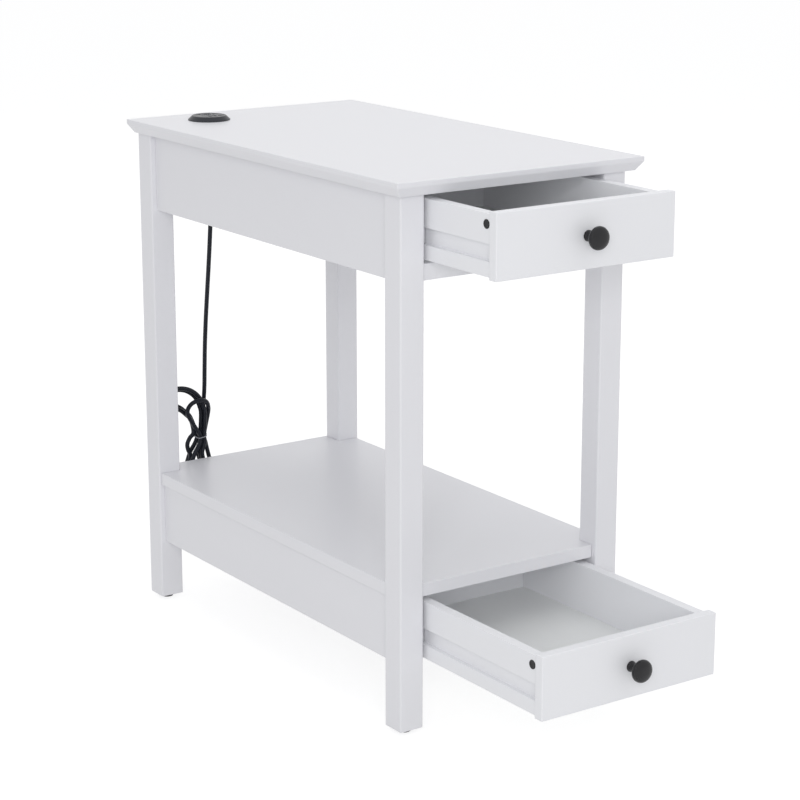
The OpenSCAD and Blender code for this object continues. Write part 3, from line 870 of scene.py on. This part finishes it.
@dataclass
class Cord:
    """The mains lead: free from the dock, tied in a hank behind the shelf, with its plug hanging beside it."""

    diameter: float = 5.6
    sides: int = 18
    step: float = 2.0
    waist: Point = (-65.5, 406.5, 196.0)
    forward: float = 10.0
    free: tuple[Point, ...] = (
        (-83, 336, 552), (-83, 336, 540), (-83, 336.5, 520), (-82, 339, 495), (-80.5, 345, 462),
        (-77.5, 355, 425), (-73, 368, 388), (-68, 381.5, 352), (-63, 394, 316), (-58.8, 403.5, 284),
        (-56.6, 409, 258), (-56.8, 411.2, 240), (-59, 411.35, 220),
    )
    tail: tuple[Point, ...] = (
        (-58, 406.5, 184), (-54.8, 406.5, 170), (-50.8, 406.5, 156), (-46.4, 406.5, 142),
        (-43, 406.5, 130), (-42, 406.5, 118),
    )
    arch_line: tuple[tuple[float, float], ...] = (
        (-79, 217.5), (-86, 225.5), (-92.5, 231.5), (-99, 235.2), (-106, 238.6), (-112, 244.2), (-114, 251.2),
        (-111, 257.8), (-104.5, 261.3), (-95.5, 262), (-86, 260), (-78, 256), (-71.5, 250.5), (-66.3, 243),
        (-62.8, 234), (-60.9, 224),
    )
    loop_line: tuple[tuple[float, float], ...] = (
        (-74.5, 206.5), (-81, 217), (-86, 226), (-87.2, 233.5), (-83.5, 240.5), (-76.5, 244.2), (-68.5, 244.5),
        (-61, 241), (-56.3, 233.5), (-54.5, 224),
    )
    turns: tuple[Turn, ...] = (
        Turn(Slot.BACK_RIGHT, Slot.BACK_LEFT, Slot.CENTRE, 5.75, 3.0, True),
        Turn(Slot.CENTRE, Slot.LEFT, Slot.FRONT_RIGHT, 0.0, 0.0, True, bows_out=True),
        Turn(Slot.FRONT_RIGHT, Slot.FRONT_LEFT, Slot.RIGHT, -5.75, 0.0, False),
    )

    def build(self) -> None:
        path = self.smooth(self.route())
        lead = self.tube(path)
        place(lead, Body.CARCASS, "cord_black", "power_cord", "cord_hank", "cord_tail")
        tie, plug, blades = self.tie(), self.plug(), self.blades()

    def slot_offset(self, slot: Slot) -> np.ndarray:
        """Returns a strand's place across the waist, in millimetres."""
        if slot is Slot.CENTRE:
            return np.zeros(3)
        angle = math.radians(60 * slot.value)
        reach = self.diameter * 1.01
        return np.array([reach * math.cos(angle), reach * math.sin(angle), 0.0])

    def route(self) -> np.ndarray:
        """Returns the route's points in millimetres, from the dock to the plug."""
        waist = np.array(self.waist)
        points = [list(p) for p in self.free]
        for turn in self.turns:
            down, up, after = (self.slot_offset(s) for s in (turn.down, turn.up, turn.next_down))
            points.append(list(waist + down))
            points += self.lower_fold(down, up, turn)
            if not turn.bows_out:
                points.append(list(waist + up))
            points += self.upper_loop(up, after, turn)
        points.append(list(waist + self.slot_offset(self.turns[-1].next_down)))
        return np.array(points + [list(p) for p in self.tail], float)

    def lower_fold(self, down: np.ndarray, up: np.ndarray, turn: Turn) -> list[Point]:
        """The drop-shaped fold below the waist.

        Args:
            down: the offset of the strand that comes down.
            up: the offset of the strand that goes up.
            turn: the turn it belongs to.

        Returns:
            Its points in millimetres.
        """
        x0, y0, _ = self.waist
        y = y0 + turn.plane
        blend_down = y0 + down[1] * 0.6 + turn.plane * 0.4
        blend_up = y0 + up[1] * 0.6 + turn.plane * 0.4
        points = [(x0 + down[0], blend_down, 186), (-67.2 + 0.2 * down[0], y, 174), (-64.8, y, 163),
                  (-62.6, y, 153.2), (-63.3, y, 146.2), (-67.2, y, 140.4), (-74, y, 138),
                  (-80.8, y, 140.4), (-84.9, y, 146.2), (-85.2, y, 153.2), (-82, y, 163)]
        if turn.bows_out:
            return points + [(-81, y, 171.5), (-84, y, 179), (-84.8, y, 186.5), (-81, y, 194), (-75.5, y, 200.5)]
        return points + [(-77.5, y, 174), (x0 + up[0] - 1.5, blend_up, 186)]

    def upper_loop(self, up: np.ndarray, after: np.ndarray, turn: Turn) -> list[Point]:
        """The loop above the waist, from the strand that goes up to the next one down.

        Args:
            up: the offset of the strand that goes up.
            after: the offset of the next strand down.
            turn: the turn it belongs to.

        Returns:
            Its points in millimetres.
        """
        line = np.array(self.arch_line if turn.arch else self.loop_line, float)
        along = np.gradient(line, axis=0)
        along /= np.linalg.norm(along, axis=1)[:, None]
        line = line + turn.inset * np.stack([along[:, 1], -along[:, 0]], 1)
        bulge = 0.0 if turn.arch else -self.forward
        points = []
        for i, (x, z) in enumerate(line):
            s = (i + 1) / (len(line) + 1)
            ease = s * s * (3 - 2 * s)
            depth = up[1] + (after[1] - up[1]) * ease + bulge * math.sin(math.pi * s ** 1.5) ** 2
            points.append((x, self.waist[1] + depth, z))
        return points

    def smooth(self, points: np.ndarray) -> np.ndarray:
        """Runs a Catmull-Rom curve through the route's points, with a point every step or so."""
        made = []
        last = len(points) - 1
        for i in range(last):
            a, b, c, d = (points[max(i - 1, 0)], points[i], points[i + 1], points[min(i + 2, last)])
            for k in range(count := max(1, math.ceil(np.linalg.norm(c - b) / self.step))):
                t = k / count
                made.append(0.5 * (2 * b + (c - a) * t + (2 * a - 5 * b + 4 * c - d) * t * t
                                   + (3 * b - a - 3 * c + d) * t ** 3))
        return np.array(made + [points[last]])

    def tube(self, path: np.ndarray) -> bpy.types.Object:
        """Sweeps the jacket along the path, without twist.

        Args:
            path: the centreline in millimetres.

        Returns:
            The mesh object, with closed ends.
        """
        mesh = bmesh.new()
        heading = np.gradient(path, axis=0)
        heading /= np.linalg.norm(heading, axis=1)[:, None]
        across = np.array([1.0, 0.0, 0.0])
        rings = []
        for point, ahead in zip(path, heading):
            across = across - ahead * across.dot(ahead)
            across /= np.linalg.norm(across)
            other = np.cross(ahead, across)
            ring = []
            for k in range(self.sides):
                angle = 2 * math.pi * k / self.sides
                spot = point + self.diameter / 2 * (math.cos(angle) * across + math.sin(angle) * other)
                ring.append(mesh.verts.new(spot * MM))
            rings.append(ring)
        bridge(mesh, rings)
        return object_from("power_lead", mesh, 60.0)

    def tie(self) -> bpy.types.Object:
        """The thin twisted tie round the strands at the waist.

        Returns:
            The tie, which stands for the CAD ring.
        """
        mesh = bmesh.new()
        cx, cy, cz = self.waist
        outline = []
        for slot in (Slot.RIGHT, Slot.BACK_RIGHT, Slot.BACK_LEFT, Slot.FRONT_LEFT, Slot.FRONT_RIGHT):
            offset = self.slot_offset(slot)
            start = {Slot.RIGHT: -30, Slot.BACK_RIGHT: 30, Slot.BACK_LEFT: 90, Slot.FRONT_LEFT: 180,
                     Slot.FRONT_RIGHT: 270}[slot]
            for k in range(5):
                angle = math.radians(start + 60 * k / 4 * (1.5 if slot in (Slot.BACK_LEFT, Slot.FRONT_LEFT) else 1))
                reach = self.diameter / 2 + 0.35
                outline.append((cx + offset[0] + reach * math.cos(angle), cy + offset[1] + reach * math.sin(angle)))
        middle = np.mean(outline, axis=0)
        rings = []
        for x, y in outline:
            tilt = (x - cx) * 0.16
            out = np.array([x, y]) - middle
            out /= np.linalg.norm(out)
            ring = []
            for dr, dz in ((0.0, -0.6), (0.5, -0.45), (0.5, 0.45), (0.0, 0.6), (-0.2, 0.0)):
                ring.append(mesh.verts.new(Vector((x + out[0] * dr, y + out[1] * dr, cz - 1.6 + tilt + dz)) * MM))
            rings.append(ring)
        bridge(mesh, rings + rings[:1], closed=False)
        return place(object_from("cord_tie_band", mesh, 30.0), Body.CARCASS, "tie_plastic", "cord_tie")

    @staticmethod
    def plug() -> bpy.types.Object:
        """The moulded plug: a ribbed relief, shoulders and a body drawn in towards its top.

        Returns:
            The plug's body.
        """
        low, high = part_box("plug_body")
        centre = (low + high) / 2
        mesh = bmesh.new()
        half_w, half_d = (high.x - low.x) / 2, (high.y - low.y) / 2
        stations = ((0.0, 0.93, 0.93, 4.0), (0.8, 1.0, 1.0, 4.6), (12.0, 1.0, 1.0, 4.6), (18.0, 0.93, 0.95, 5.0),
                    (24.0, 0.92, 0.92, 5.0), (28.0, 0.80, 0.82, 5.0), (30.0, 0.52, 0.62, 4.5))
        rings = []
        for height, wide, deep, radius in stations:
            outline = rounded_rectangle(half_w * wide, half_d * deep, min(radius * MM, half_d * deep * 0.98))
            rings.append([mesh.verts.new((centre.x + x, centre.y + y, low.z + height * MM)) for x, y in outline])
        count = len(rings[0])
        ribs = 5
        for rib in range(ribs * 2 + 1):
            height = 30.0 + 22.0 * rib / (ribs * 2)
            reach = (4.9 - 1.3 * rib / (ribs * 2)) - (0.55 if rib % 2 else 0.0)
            rings.append([mesh.verts.new((centre.x + reach * MM * math.cos(a), centre.y + reach * MM * math.sin(a),
                                          low.z + height * MM))
                          for a in (2 * math.pi * (k + 0.5) / count for k in range(count))])
        bridge(mesh, rings)
        return place(object_from("plug_moulding", mesh), Body.CARCASS, "cord_black", "plug_body")

    @staticmethod
    def blades() -> bpy.types.Object:
        """The two flat blades with rounded tips.

        Returns:
            Both blades in one object.
        """
        low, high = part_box("plug_blades")
        mid_y = (low.y + high.y) / 2
        half = (high.y - low.y) / 2
        mesh = bmesh.new()
        for x0, x1 in ((low.x, low.x + 1.5 * MM), (high.x - 1.5 * MM, high.x)):
            outline = [(mid_y + half, high.z), (mid_y - half, high.z)]
            outline += [(mid_y - half * math.cos(math.radians(a)), low.z + half * 0.6 * (1 - math.sin(math.radians(a))))
                        for a in range(0, 181, 15)]
            blade = extruded(outline, Axis.X, x0, x1, 0.0002, 2)
            absorb(mesh, blade)
        return place(object_from("plug_contacts", mesh), Body.CARCASS, "brass", "plug_blades")


# ---------------------------------------------------------------- the carcass


@dataclass
class Carcass:
    """The top, legs, aprons, rail, shelf, runners and their fixings."""

    bevel_run: float = 0.007
    edge: float = 0.0055
    leg_round: float = 0.0018
    notch_gap: float = 0.0003
    ease: float = 0.0007
    screw_shares: tuple[float, ...] = (0.18, 0.5, 0.9)
    screw_shank: float = 1.95 * MM
    screw_head: float = 3.75 * MM
    screw_head_height: float = 2.2 * MM
    boards: tuple[str, ...] = (
        "upper_apron_left", "upper_apron_right", "upper_apron_back", "upper_front_rail",
        "lower_apron_left", "lower_apron_right", "lower_apron_back",
    )

    def build(self) -> None:
        """Builds every piece of the carcass."""
        self.top()
        for end in ("front_left", "front_right", "back_left", "back_right"):
            self.leg(f"leg_{end}")
        for node in self.boards:
            board(node, Body.CARCASS, self.ease)
        self.shelf()
        for level in ("upper", "lower"):
            for side in ("left", "right"):
                self.runner(f"{level}_runner_{side}")
        self.glides()
        self.runner_screws()

    def top(self) -> None:
        """The top: an upper square edge with a crisp arris over a bevel that runs in below."""
        low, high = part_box("top_panel")
        mesh = bmesh.new()
        rings = []
        for inset, z in ((self.bevel_run, low.z), (0.0, high.z - self.edge), (0.0, high.z)):
            rings.append([mesh.verts.new((x, y, z)) for x, y in (
                (low.x + inset, low.y + inset), (high.x - inset, low.y + inset),
                (high.x - inset, high.y - inset), (low.x + inset, high.y - inset))])
        bridge(mesh, rings)
        bmesh.ops.recalc_face_normals(mesh, faces=mesh.faces)
        ease_edges(mesh, 0.0009, 3)
        top = object_from("table_top", mesh)
        self.cut_dock_hole(top, low, high)
        place(top, Body.CARCASS, "white_paint", "top_panel")

    @staticmethod
    def cut_dock_hole(top: bpy.types.Object, low: Vector, high: Vector) -> None:
        """Cuts the round hole for the dock's housing through the top."""
        body_low, body_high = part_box("dock_housing")
        centre = (body_low + body_high) / 2
        reach = (body_high.x - body_low.x) / 2 + 0.5 * MM
        profile = [(0, low.z - 0.01), (reach, low.z - 0.01), (reach, high.z + 0.01), (0, high.z + 0.01)]
        cutter = object_from("hole_cutter", turned(profile, Vector((centre.x, centre.y, 0)), Vector((0, 0, 1)), 96))
        for face in carve(top, [cutter]).polygons:
            face.use_smooth = face.area < FLAT_AREA

    def leg(self, node: str) -> None:
        """A square leg: a rounded-square outline swept upwards with Geometry Nodes, its lower end eased."""
        low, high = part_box(node)
        build = GeometryTree(f"{node}_sweep", {
            "Width": ("NodeSocketFloat", high.x - low.x), "Corner": ("NodeSocketFloat", self.leg_round),
            "Foot": ("NodeSocketVector", ((low.x + high.x) / 2, (low.y + high.y) / 2, low.z)),
            "Head": ("NodeSocketVector", ((low.x + high.x) / 2, (low.y + high.y) / 2, high.z)),
        })
        outline = build.node("GeometryNodeCurvePrimitiveQuadrilateral", {
            "Width": build.given("Width"), "Height": build.given("Width")})
        rounded = build.node("GeometryNodeFilletCurve", {
            "Curve": outline.outputs[0], "Radius": build.given("Corner")}, mode="POLY")
        rounded.inputs["Count"].default_value = 5
        line = build.node("GeometryNodeCurvePrimitiveLine", {
            "Start": build.given("Foot"), "End": build.given("Head")})
        swept = build.node("GeometryNodeCurveToMesh", {
            "Curve": line.outputs[0], "Profile Curve": rounded.outputs[0]})
        swept.inputs["Fill Caps"].default_value = True
        rough = build.bake(f"{node}_swept", swept.outputs[0], "white_paint")
        mesh = bmesh.new()
        mesh.from_mesh(rough.data)
        bpy.data.objects.remove(rough)
        bmesh.ops.remove_doubles(mesh, verts=mesh.verts, dist=1e-6)
        bmesh.ops.recalc_face_normals(mesh, faces=mesh.faces)
        ends = [e for e in mesh.edges if len(e.link_faces) == 2 and e.calc_face_angle(0.0) > math.radians(60)]
        bmesh.ops.bevel(mesh, geom=ends, offset=0.0006, segments=2, profile=0.5, affect="EDGES")
        place(object_from(f"{node}_post", mesh), Body.CARCASS, "white_paint", node)

    def shelf(self) -> None:
        """The shelf, notched round the legs, with eased edges."""
        low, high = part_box("shelf")
        leg_low, leg_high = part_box("leg_front_right")
        back_low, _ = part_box("leg_back_right")
        notch = leg_low.x - self.notch_gap
        front, back = leg_high.y + self.notch_gap, back_low.y - self.notch_gap
        outline = [(-notch, low.y), (notch, low.y), (notch, front), (high.x, front), (high.x, back),
                   (notch, back), (notch, high.y), (-notch, high.y), (-notch, back), (low.x, back),
                   (low.x, front), (-notch, front)]
        mesh = extruded(outline, Axis.Z, low.z, high.z, self.ease)
        place(object_from("shelf_board", mesh), Body.CARCASS, "white_paint", "shelf")

    def runner(self, node: str) -> None:
        """A runner strip with its narrow nose beside the leg, with eased edges."""
        low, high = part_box(node)
        leg_low, leg_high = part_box("leg_front_right")
        side = -1 if high.x < 0 else 1
        inner, outer = (low.x, high.x) if side > 0 else (high.x, low.x)
        nose = side * (leg_low.x - self.notch_gap)
        start = leg_high.y + self.notch_gap
        outline = [(inner, low.y), (nose, low.y), (nose, start), (outer, start), (outer, high.y), (inner, high.y)]
        mesh = extruded(outline, Axis.Z, low.z, high.z, 0.0006, 2)
        place(object_from(f"{node}_strip", mesh), Body.CARCASS, "runner_white", node)

    @staticmethod
    def glides() -> None:
        """The nailed floor glides, with a soft lower edge; copies of one, by Geometry Nodes."""
        low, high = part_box("leg_glides")
        reach, height = 8.0 * MM, 5.0 * MM
        profile = rounded_profile([(0, 0), (reach - 0.8 * MM, 0), (reach, 1.5 * MM), (reach, height), (0, height)],
                                  0.8 * MM)
        nail = rounded_profile([(0, height - 0.2 * MM), (1.2 * MM, height - 0.2 * MM), (1.2 * MM, 18 * MM),
                                (0, high.z)], 0.2 * MM)
        mesh = turned(profile, Vector(), Vector((0, 0, 1)), 48)
        pin = turned(nail, Vector(), Vector((0, 0, 1)), 16)
        absorb(mesh, pin)
        glide = object_from("glide", mesh)
        xs, ys = (low.x + reach, high.x - reach), (low.y + reach, high.y - reach)
        spots = [(x, y, 0.0) for x in xs for y in ys]
        made = repeated("floor_glides", glide, spots, [(0, 0, 0)] * 4, "glide_plastic")
        place(made, Body.CARCASS, "glide_plastic", "leg_glides")

    def runner_screws(self) -> None:
        """Countersunk screws with a round recess, repeated along the runners by Geometry Nodes."""
        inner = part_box("upper_runner_right")[0].x
        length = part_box("runner_screws")[1].x - inner
        screw = cross_screw(length, self.screw_shank, self.screw_head, self.screw_head_height, True)
        run_low, run_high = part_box("upper_runner_right")
        spots, turns = [], []
        for level in ("upper", "lower"):
            strip_low, strip_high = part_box(f"{level}_runner_right")
            z = (strip_low.z + strip_high.z) / 2
            for share in self.screw_shares:
                y = run_low.y + share * (run_high.y - run_low.y)
                spots += [(inner, y, z), (-inner, y, z)]
                turns += [(0.0, 0.0, 0.0), (0.0, 0.0, math.pi)]
        made = repeated("runner_screw_set", screw, spots, turns, "steel")
        place(made, Body.CARCASS, "steel", "runner_screws")


def cross_screw(length: float, shank: float, head: float, head_h: float, sunk: bool) -> bpy.types.Object:
    """A screw along +X from its head's face, with a round recess in its head.

    Args:
        length: from the head's face to the point.
        shank: radius of the shank.
        head: radius of the head.
        head_h: height of the head.
        sunk: a countersunk head if true, else a pan head that stands out towards -X.

    Returns:
        The screw, about the origin.
    """
    thread = []
    pitch = 1.4 * MM
    start = head_h if sunk else 0.0
    count = max(2, int((length - start - 3 * MM) / pitch))
    for k in range(count):
        at = start + 1.0 * MM + k * pitch
        thread += [(shank * 0.78, at), (shank, at + pitch * 0.35), (shank * 0.78, at + pitch * 0.7)]
    if sunk:
        profile = [(0, 0.9 * MM), (head * 0.34, 0.9 * MM), (head * 0.40, 0.0), (head, 0.0), (shank, head_h)]
    else:
        profile = [(0, -head_h + 0.9 * MM), (head * 0.36, -head_h + 0.9 * MM), (head * 0.44, -head_h),
                   (head * 0.75, -head_h * 0.92), (head, -head_h * 0.5), (head, 0.0), (shank, 0.0)]
    profile += thread + [(shank * 0.7, length - 2 * MM), (0, length)]
    mesh = turned(profile, Vector(), Vector((1, 0, 0)), 24)
    return object_from("screw", mesh)


# ---------------------------------------------------------------- a drawer


@dataclass
class Drawer:
    """One drawer: its box, its cam fittings and its knob."""

    level: str
    body: Body
    groove_depth: float = 0.006
    groove_low: float = 0.016
    groove_high: float = 0.034
    ease: float = 0.0007
    front_ease: float = 0.0009
    bottom_ease: float = 0.0002

    def build(self) -> None:
        """Builds every piece of the drawer."""
        board(f"{self.level}_drawer_front", self.body, self.front_ease)
        board(f"{self.level}_drawer_back", self.body, self.ease)
        board(f"{self.level}_drawer_bottom", self.body, self.bottom_ease)
        for side in ("left", "right"):
            self.side(side)
        self.knob()
        self.caps()
        self.knob_screw()

    def side(self, side: str) -> None:
        """A side board with the runner's groove along its outer face."""
        node = f"{self.level}_drawer_{side}"
        low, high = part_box(node)
        inner, outer, sign = (high.x, low.x, 1) if side == "left" else (low.x, high.x, -1)
        floor = outer + sign * self.groove_depth
        g0, g1 = low.z + self.groove_low, low.z + self.groove_high
        outline = [(outer, low.z), (inner, low.z), (inner, high.z), (outer, high.z), (outer, g1), (floor, g1),
                   (floor, g0), (outer, g0)]
        mesh = extruded(outline, Axis.Y, low.y, high.y, 0.0005, 2)
        place(object_from(f"{node}_board", mesh), self.body, "drawer_white", node)

    def knob(self) -> None:
        """The turned knob: a foot, a waist and a thick head with a rolled rim and a faintly domed face."""
        node = f"{self.level}_knob"
        low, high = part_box(node)
        centre = Vector(((low.x + high.x) / 2, high.y, (low.z + high.z) / 2))
        reach, length = (high.x - low.x) / 2, high.y - low.y
        r, h = reach / 12.5, length / 24.0
        corners = [(0, 0.0), (6.0 * r, 0.0), (6.0 * r, 1.6 * h), (4.9 * r, 4.2 * h), (4.5 * r, 9.2 * h),
                   (5.4 * r, 12.2 * h), (8.6 * r, 13.8 * h), (11.4 * r, 14.6 * h), (12.5 * r, 16.4 * h),
                   (12.5 * r, 18.6 * h), (11.6 * r, 20.9 * h), (9.4 * r, 22.5 * h), (5.6 * r, 23.6 * h),
                   (0, 24.0 * h)]
        mesh = turned(rounded_profile(corners, 1.6 * MM, 4), centre, Vector((0, -1, 0)), 96)
        place(object_from(f"{node}_turned", mesh, 50.0), self.body, "knob_black", node)

    def caps(self) -> None:
        """The round black cap over each cam lock, with a shallow dish."""
        node = f"{self.level}_cam_caps"
        low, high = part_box(node)
        reach = (high.z - low.z) / 2
        mid = Vector((0, (low.y + high.y) / 2, (low.z + high.z) / 2))
        mesh = bmesh.new()
        for sign, x in ((-1, low.x), (1, high.x)):
            corners = [(0, 0.15 * MM), (reach * 0.62, 0.15 * MM), (reach * 0.7, 0.0), (reach, 0.0), (reach, 1.5 * MM),
                       (0, 1.5 * MM)]
            cap = turned(rounded_profile(corners, 0.25 * MM, 3), Vector((x, mid.y, mid.z)), Vector((-sign, 0, 0)), 48)
            absorb(mesh, cap)
        place(object_from(f"{node}_pair", mesh), self.body, "cap_plastic", node)

    def knob_screw(self) -> None:
        """The pan-head machine screw that holds the knob, seen inside the drawer."""
        node = f"{self.level}_knob_screw"
        low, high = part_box(node)
        head_h = 2.5 * MM
        length = (high.y - low.y) - head_h
        screw = cross_screw(length, 1.98 * MM, (high.x - low.x) / 2, head_h, False)
        spot = ((low.x + high.x) / 2, high.y - head_h, (low.z + high.z) / 2)
        made = repeated(f"{node}_cross", screw, [spot], [(0.0, 0.0, -math.pi / 2)], "steel")
        place(made, self.body, "steel", node)


# ---------------------------------------------------------------- the dock


@dataclass
class Dock:
    """The power dock let into the top: cap, sockets with their tongues, locknut and strain relief."""

    rim: float = 0.0008
    face_share: float = 41.0 / 51.0
    grips: int = 24

    def build(self) -> None:
        """Builds every piece of the dock."""
        self.cap()
        self.sockets()
        self.locknut()
        self.relief()

    def cap(self) -> None:
        """The chamfered cap, with the two socket openings cut through it."""
        low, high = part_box("dock_cap")
        centre = Vector(((low.x + high.x) / 2, (low.y + high.y) / 2, low.z))
        reach, rise = (high.x - low.x) / 2, high.z - low.z
        face = reach * self.face_share
        corners = [(0, 0), (reach, 0), (reach, self.rim), (face, rise), (face - 1.4 * MM, rise),
                   (face - 1.7 * MM, rise - 0.25 * MM), (0, rise - 0.25 * MM)]
        cap = object_from("dock_cap_turned", turned(rounded_profile(corners, 0.5 * MM, 4), centre,
                                                    Vector((0, 0, 1)), 128))
        past = 5 * MM
        grow = Vector((0.1 * MM, 0.1 * MM, past))
        carve(cap, [object_from(f"socket_cutter_{index}", extruded(
            rectangle(a - grow, b + grow, Axis.Z), Axis.Z, low.z - past, high.z + past, 0.0))
            for index, (a, b) in enumerate(self.socket_boxes())])
        place(cap, Body.CARCASS, "dock_plastic", "dock_cap")

    @staticmethod
    def socket_boxes() -> list[tuple[Vector, Vector]]:
        """Returns the two socket shells' corners, worked out from the pair's box."""
        low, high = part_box("dock_sockets")
        deep = 6.4 * MM
        return [(low, Vector((high.x, low.y + deep, high.z))), (Vector((low.x, high.y - deep, low.z)), high)]

    def sockets(self) -> None:
        """The contact tongue in each socket shell; the steel shells stay as the CAD made them."""
        mesh = bmesh.new()
        for low, high in self.socket_boxes():
            mid_y = (low.y + high.y) / 2
            tongue_low = Vector((low.x + 1.4 * MM, mid_y + 0.2 * MM, low.z + 0.9 * MM))
            tongue_high = Vector((high.x - 1.4 * MM, mid_y + 2.0 * MM, high.z - 1.2 * MM))
            tongue = extruded(rectangle(tongue_low, tongue_high, Axis.Z), Axis.Z, tongue_low.z, tongue_high.z,
                              0.0003, 2)
            absorb(mesh, tongue)
        place(object_from("socket_tongues", mesh), Body.CARCASS, "cap_plastic")

    def locknut(self) -> None:
        """The locknut under the top: a ring with grip ribs set round it by Geometry Nodes."""
        low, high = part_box("dock_locknut")
        body_low, body_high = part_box("dock_housing")
        centre = Vector(((low.x + high.x) / 2, (low.y + high.y) / 2, low.z))
        reach, bore, rise = (high.x - low.x) / 2 - 1.2 * MM, (body_high.x - body_low.x) / 2 + 0.2 * MM, high.z - low.z
        ring = [(bore, 0), (reach, 0), (reach, rise), (bore, rise), (bore, 0)]
        mesh = turned(rounded_profile(ring, 0.5 * MM, 3)[:-1] + [(bore, 0)], centre, Vector((0, 0, 1)), 96)
        place(object_from("locknut_ring", mesh), Body.CARCASS, "dock_plastic", "dock_locknut")
        build = GeometryTree("locknut_grips", {
            "Reach": ("NodeSocketFloat", reach), "Count": ("NodeSocketInt", self.grips),
            "Rib": ("NodeSocketVector", (2.2 * MM, 2.4 * MM, rise * 0.86)),
            "Centre": ("NodeSocketVector", tuple(centre + Vector((0, 0, rise / 2)))),
        })
        circle = build.node("GeometryNodeCurvePrimitiveCircle", {
            "Radius": build.given("Reach"), "Resolution": build.given("Count")}, mode="RADIUS")
        points = build.node("GeometryNodeCurveToPoints", {"Curve": circle.outputs[0]}, mode="EVALUATED")
        rib = build.node("GeometryNodeMeshCube", {"Size": build.given("Rib")})
        copies = build.node("GeometryNodeInstanceOnPoints", {
            "Points": points.outputs["Points"], "Instance": rib.outputs["Mesh"],
            "Rotation": points.outputs["Rotation"]})
        moved = build.node("GeometryNodeTransform", {
            "Geometry": copies.outputs[0], "Translation": build.given("Centre")})
        grips = build.bake("locknut_grips", moved.outputs[0], "dock_plastic")
        place(grips, Body.CARCASS, "dock_plastic")

    @staticmethod
    def relief() -> None:
        """The tapered strain relief under the housing, with its flex rings."""
        low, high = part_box("cord_gland")
        centre = Vector(((low.x + high.x) / 2, (low.y + high.y) / 2, low.z))
        length = 24.0 * MM
        top = high.z - low.z
        profile = [(0, 0), (3.2 * MM, 0)]
        rings = 9
        for k in range(rings * 2):
            share = k / (rings * 2)
            base = 3.7 * MM + 1.3 * MM * share
            profile.append((base - (0.5 * MM if k % 2 else 0.0), 0.4 * MM + share * (length - 1.5 * MM)))
        profile += [(5.0 * MM, length - 1.2 * MM), (5.0 * MM, length), (4.0 * MM, length), (4.0 * MM, top - 2 * MM),
                    (7.0 * MM, top - 2 * MM), (7.0 * MM, top), (0, top)]
        mesh = turned(rounded_profile(profile, 0.3 * MM, 3), centre, Vector((0, 0, 1)), 48)
        place(object_from("strain_relief", mesh), Body.CARCASS, "cord_black", "cord_gland")


# ---------------------------------------------------------------- main


def dress_cad_nodes() -> None:
    """Gives every CAD node its slot's finish, so that those still shown are dressed too."""
    for name, node in frame["nodes"].items():
        Finishes.dress(node, SLOT_OF[name])


def main() -> None:
    """Builds the studio, the cord, the carcass, the dock and the two drawers."""
    Groups.build()
    Finishes.build()
    Studio().build()
    dress_cad_nodes()
    Cord().build()
    Carcass().build()
    Dock().build()
    Drawer("upper", Body.UPPER).build()
    Drawer("lower", Body.LOWER).build()


if __name__ == "__main__":
    main()
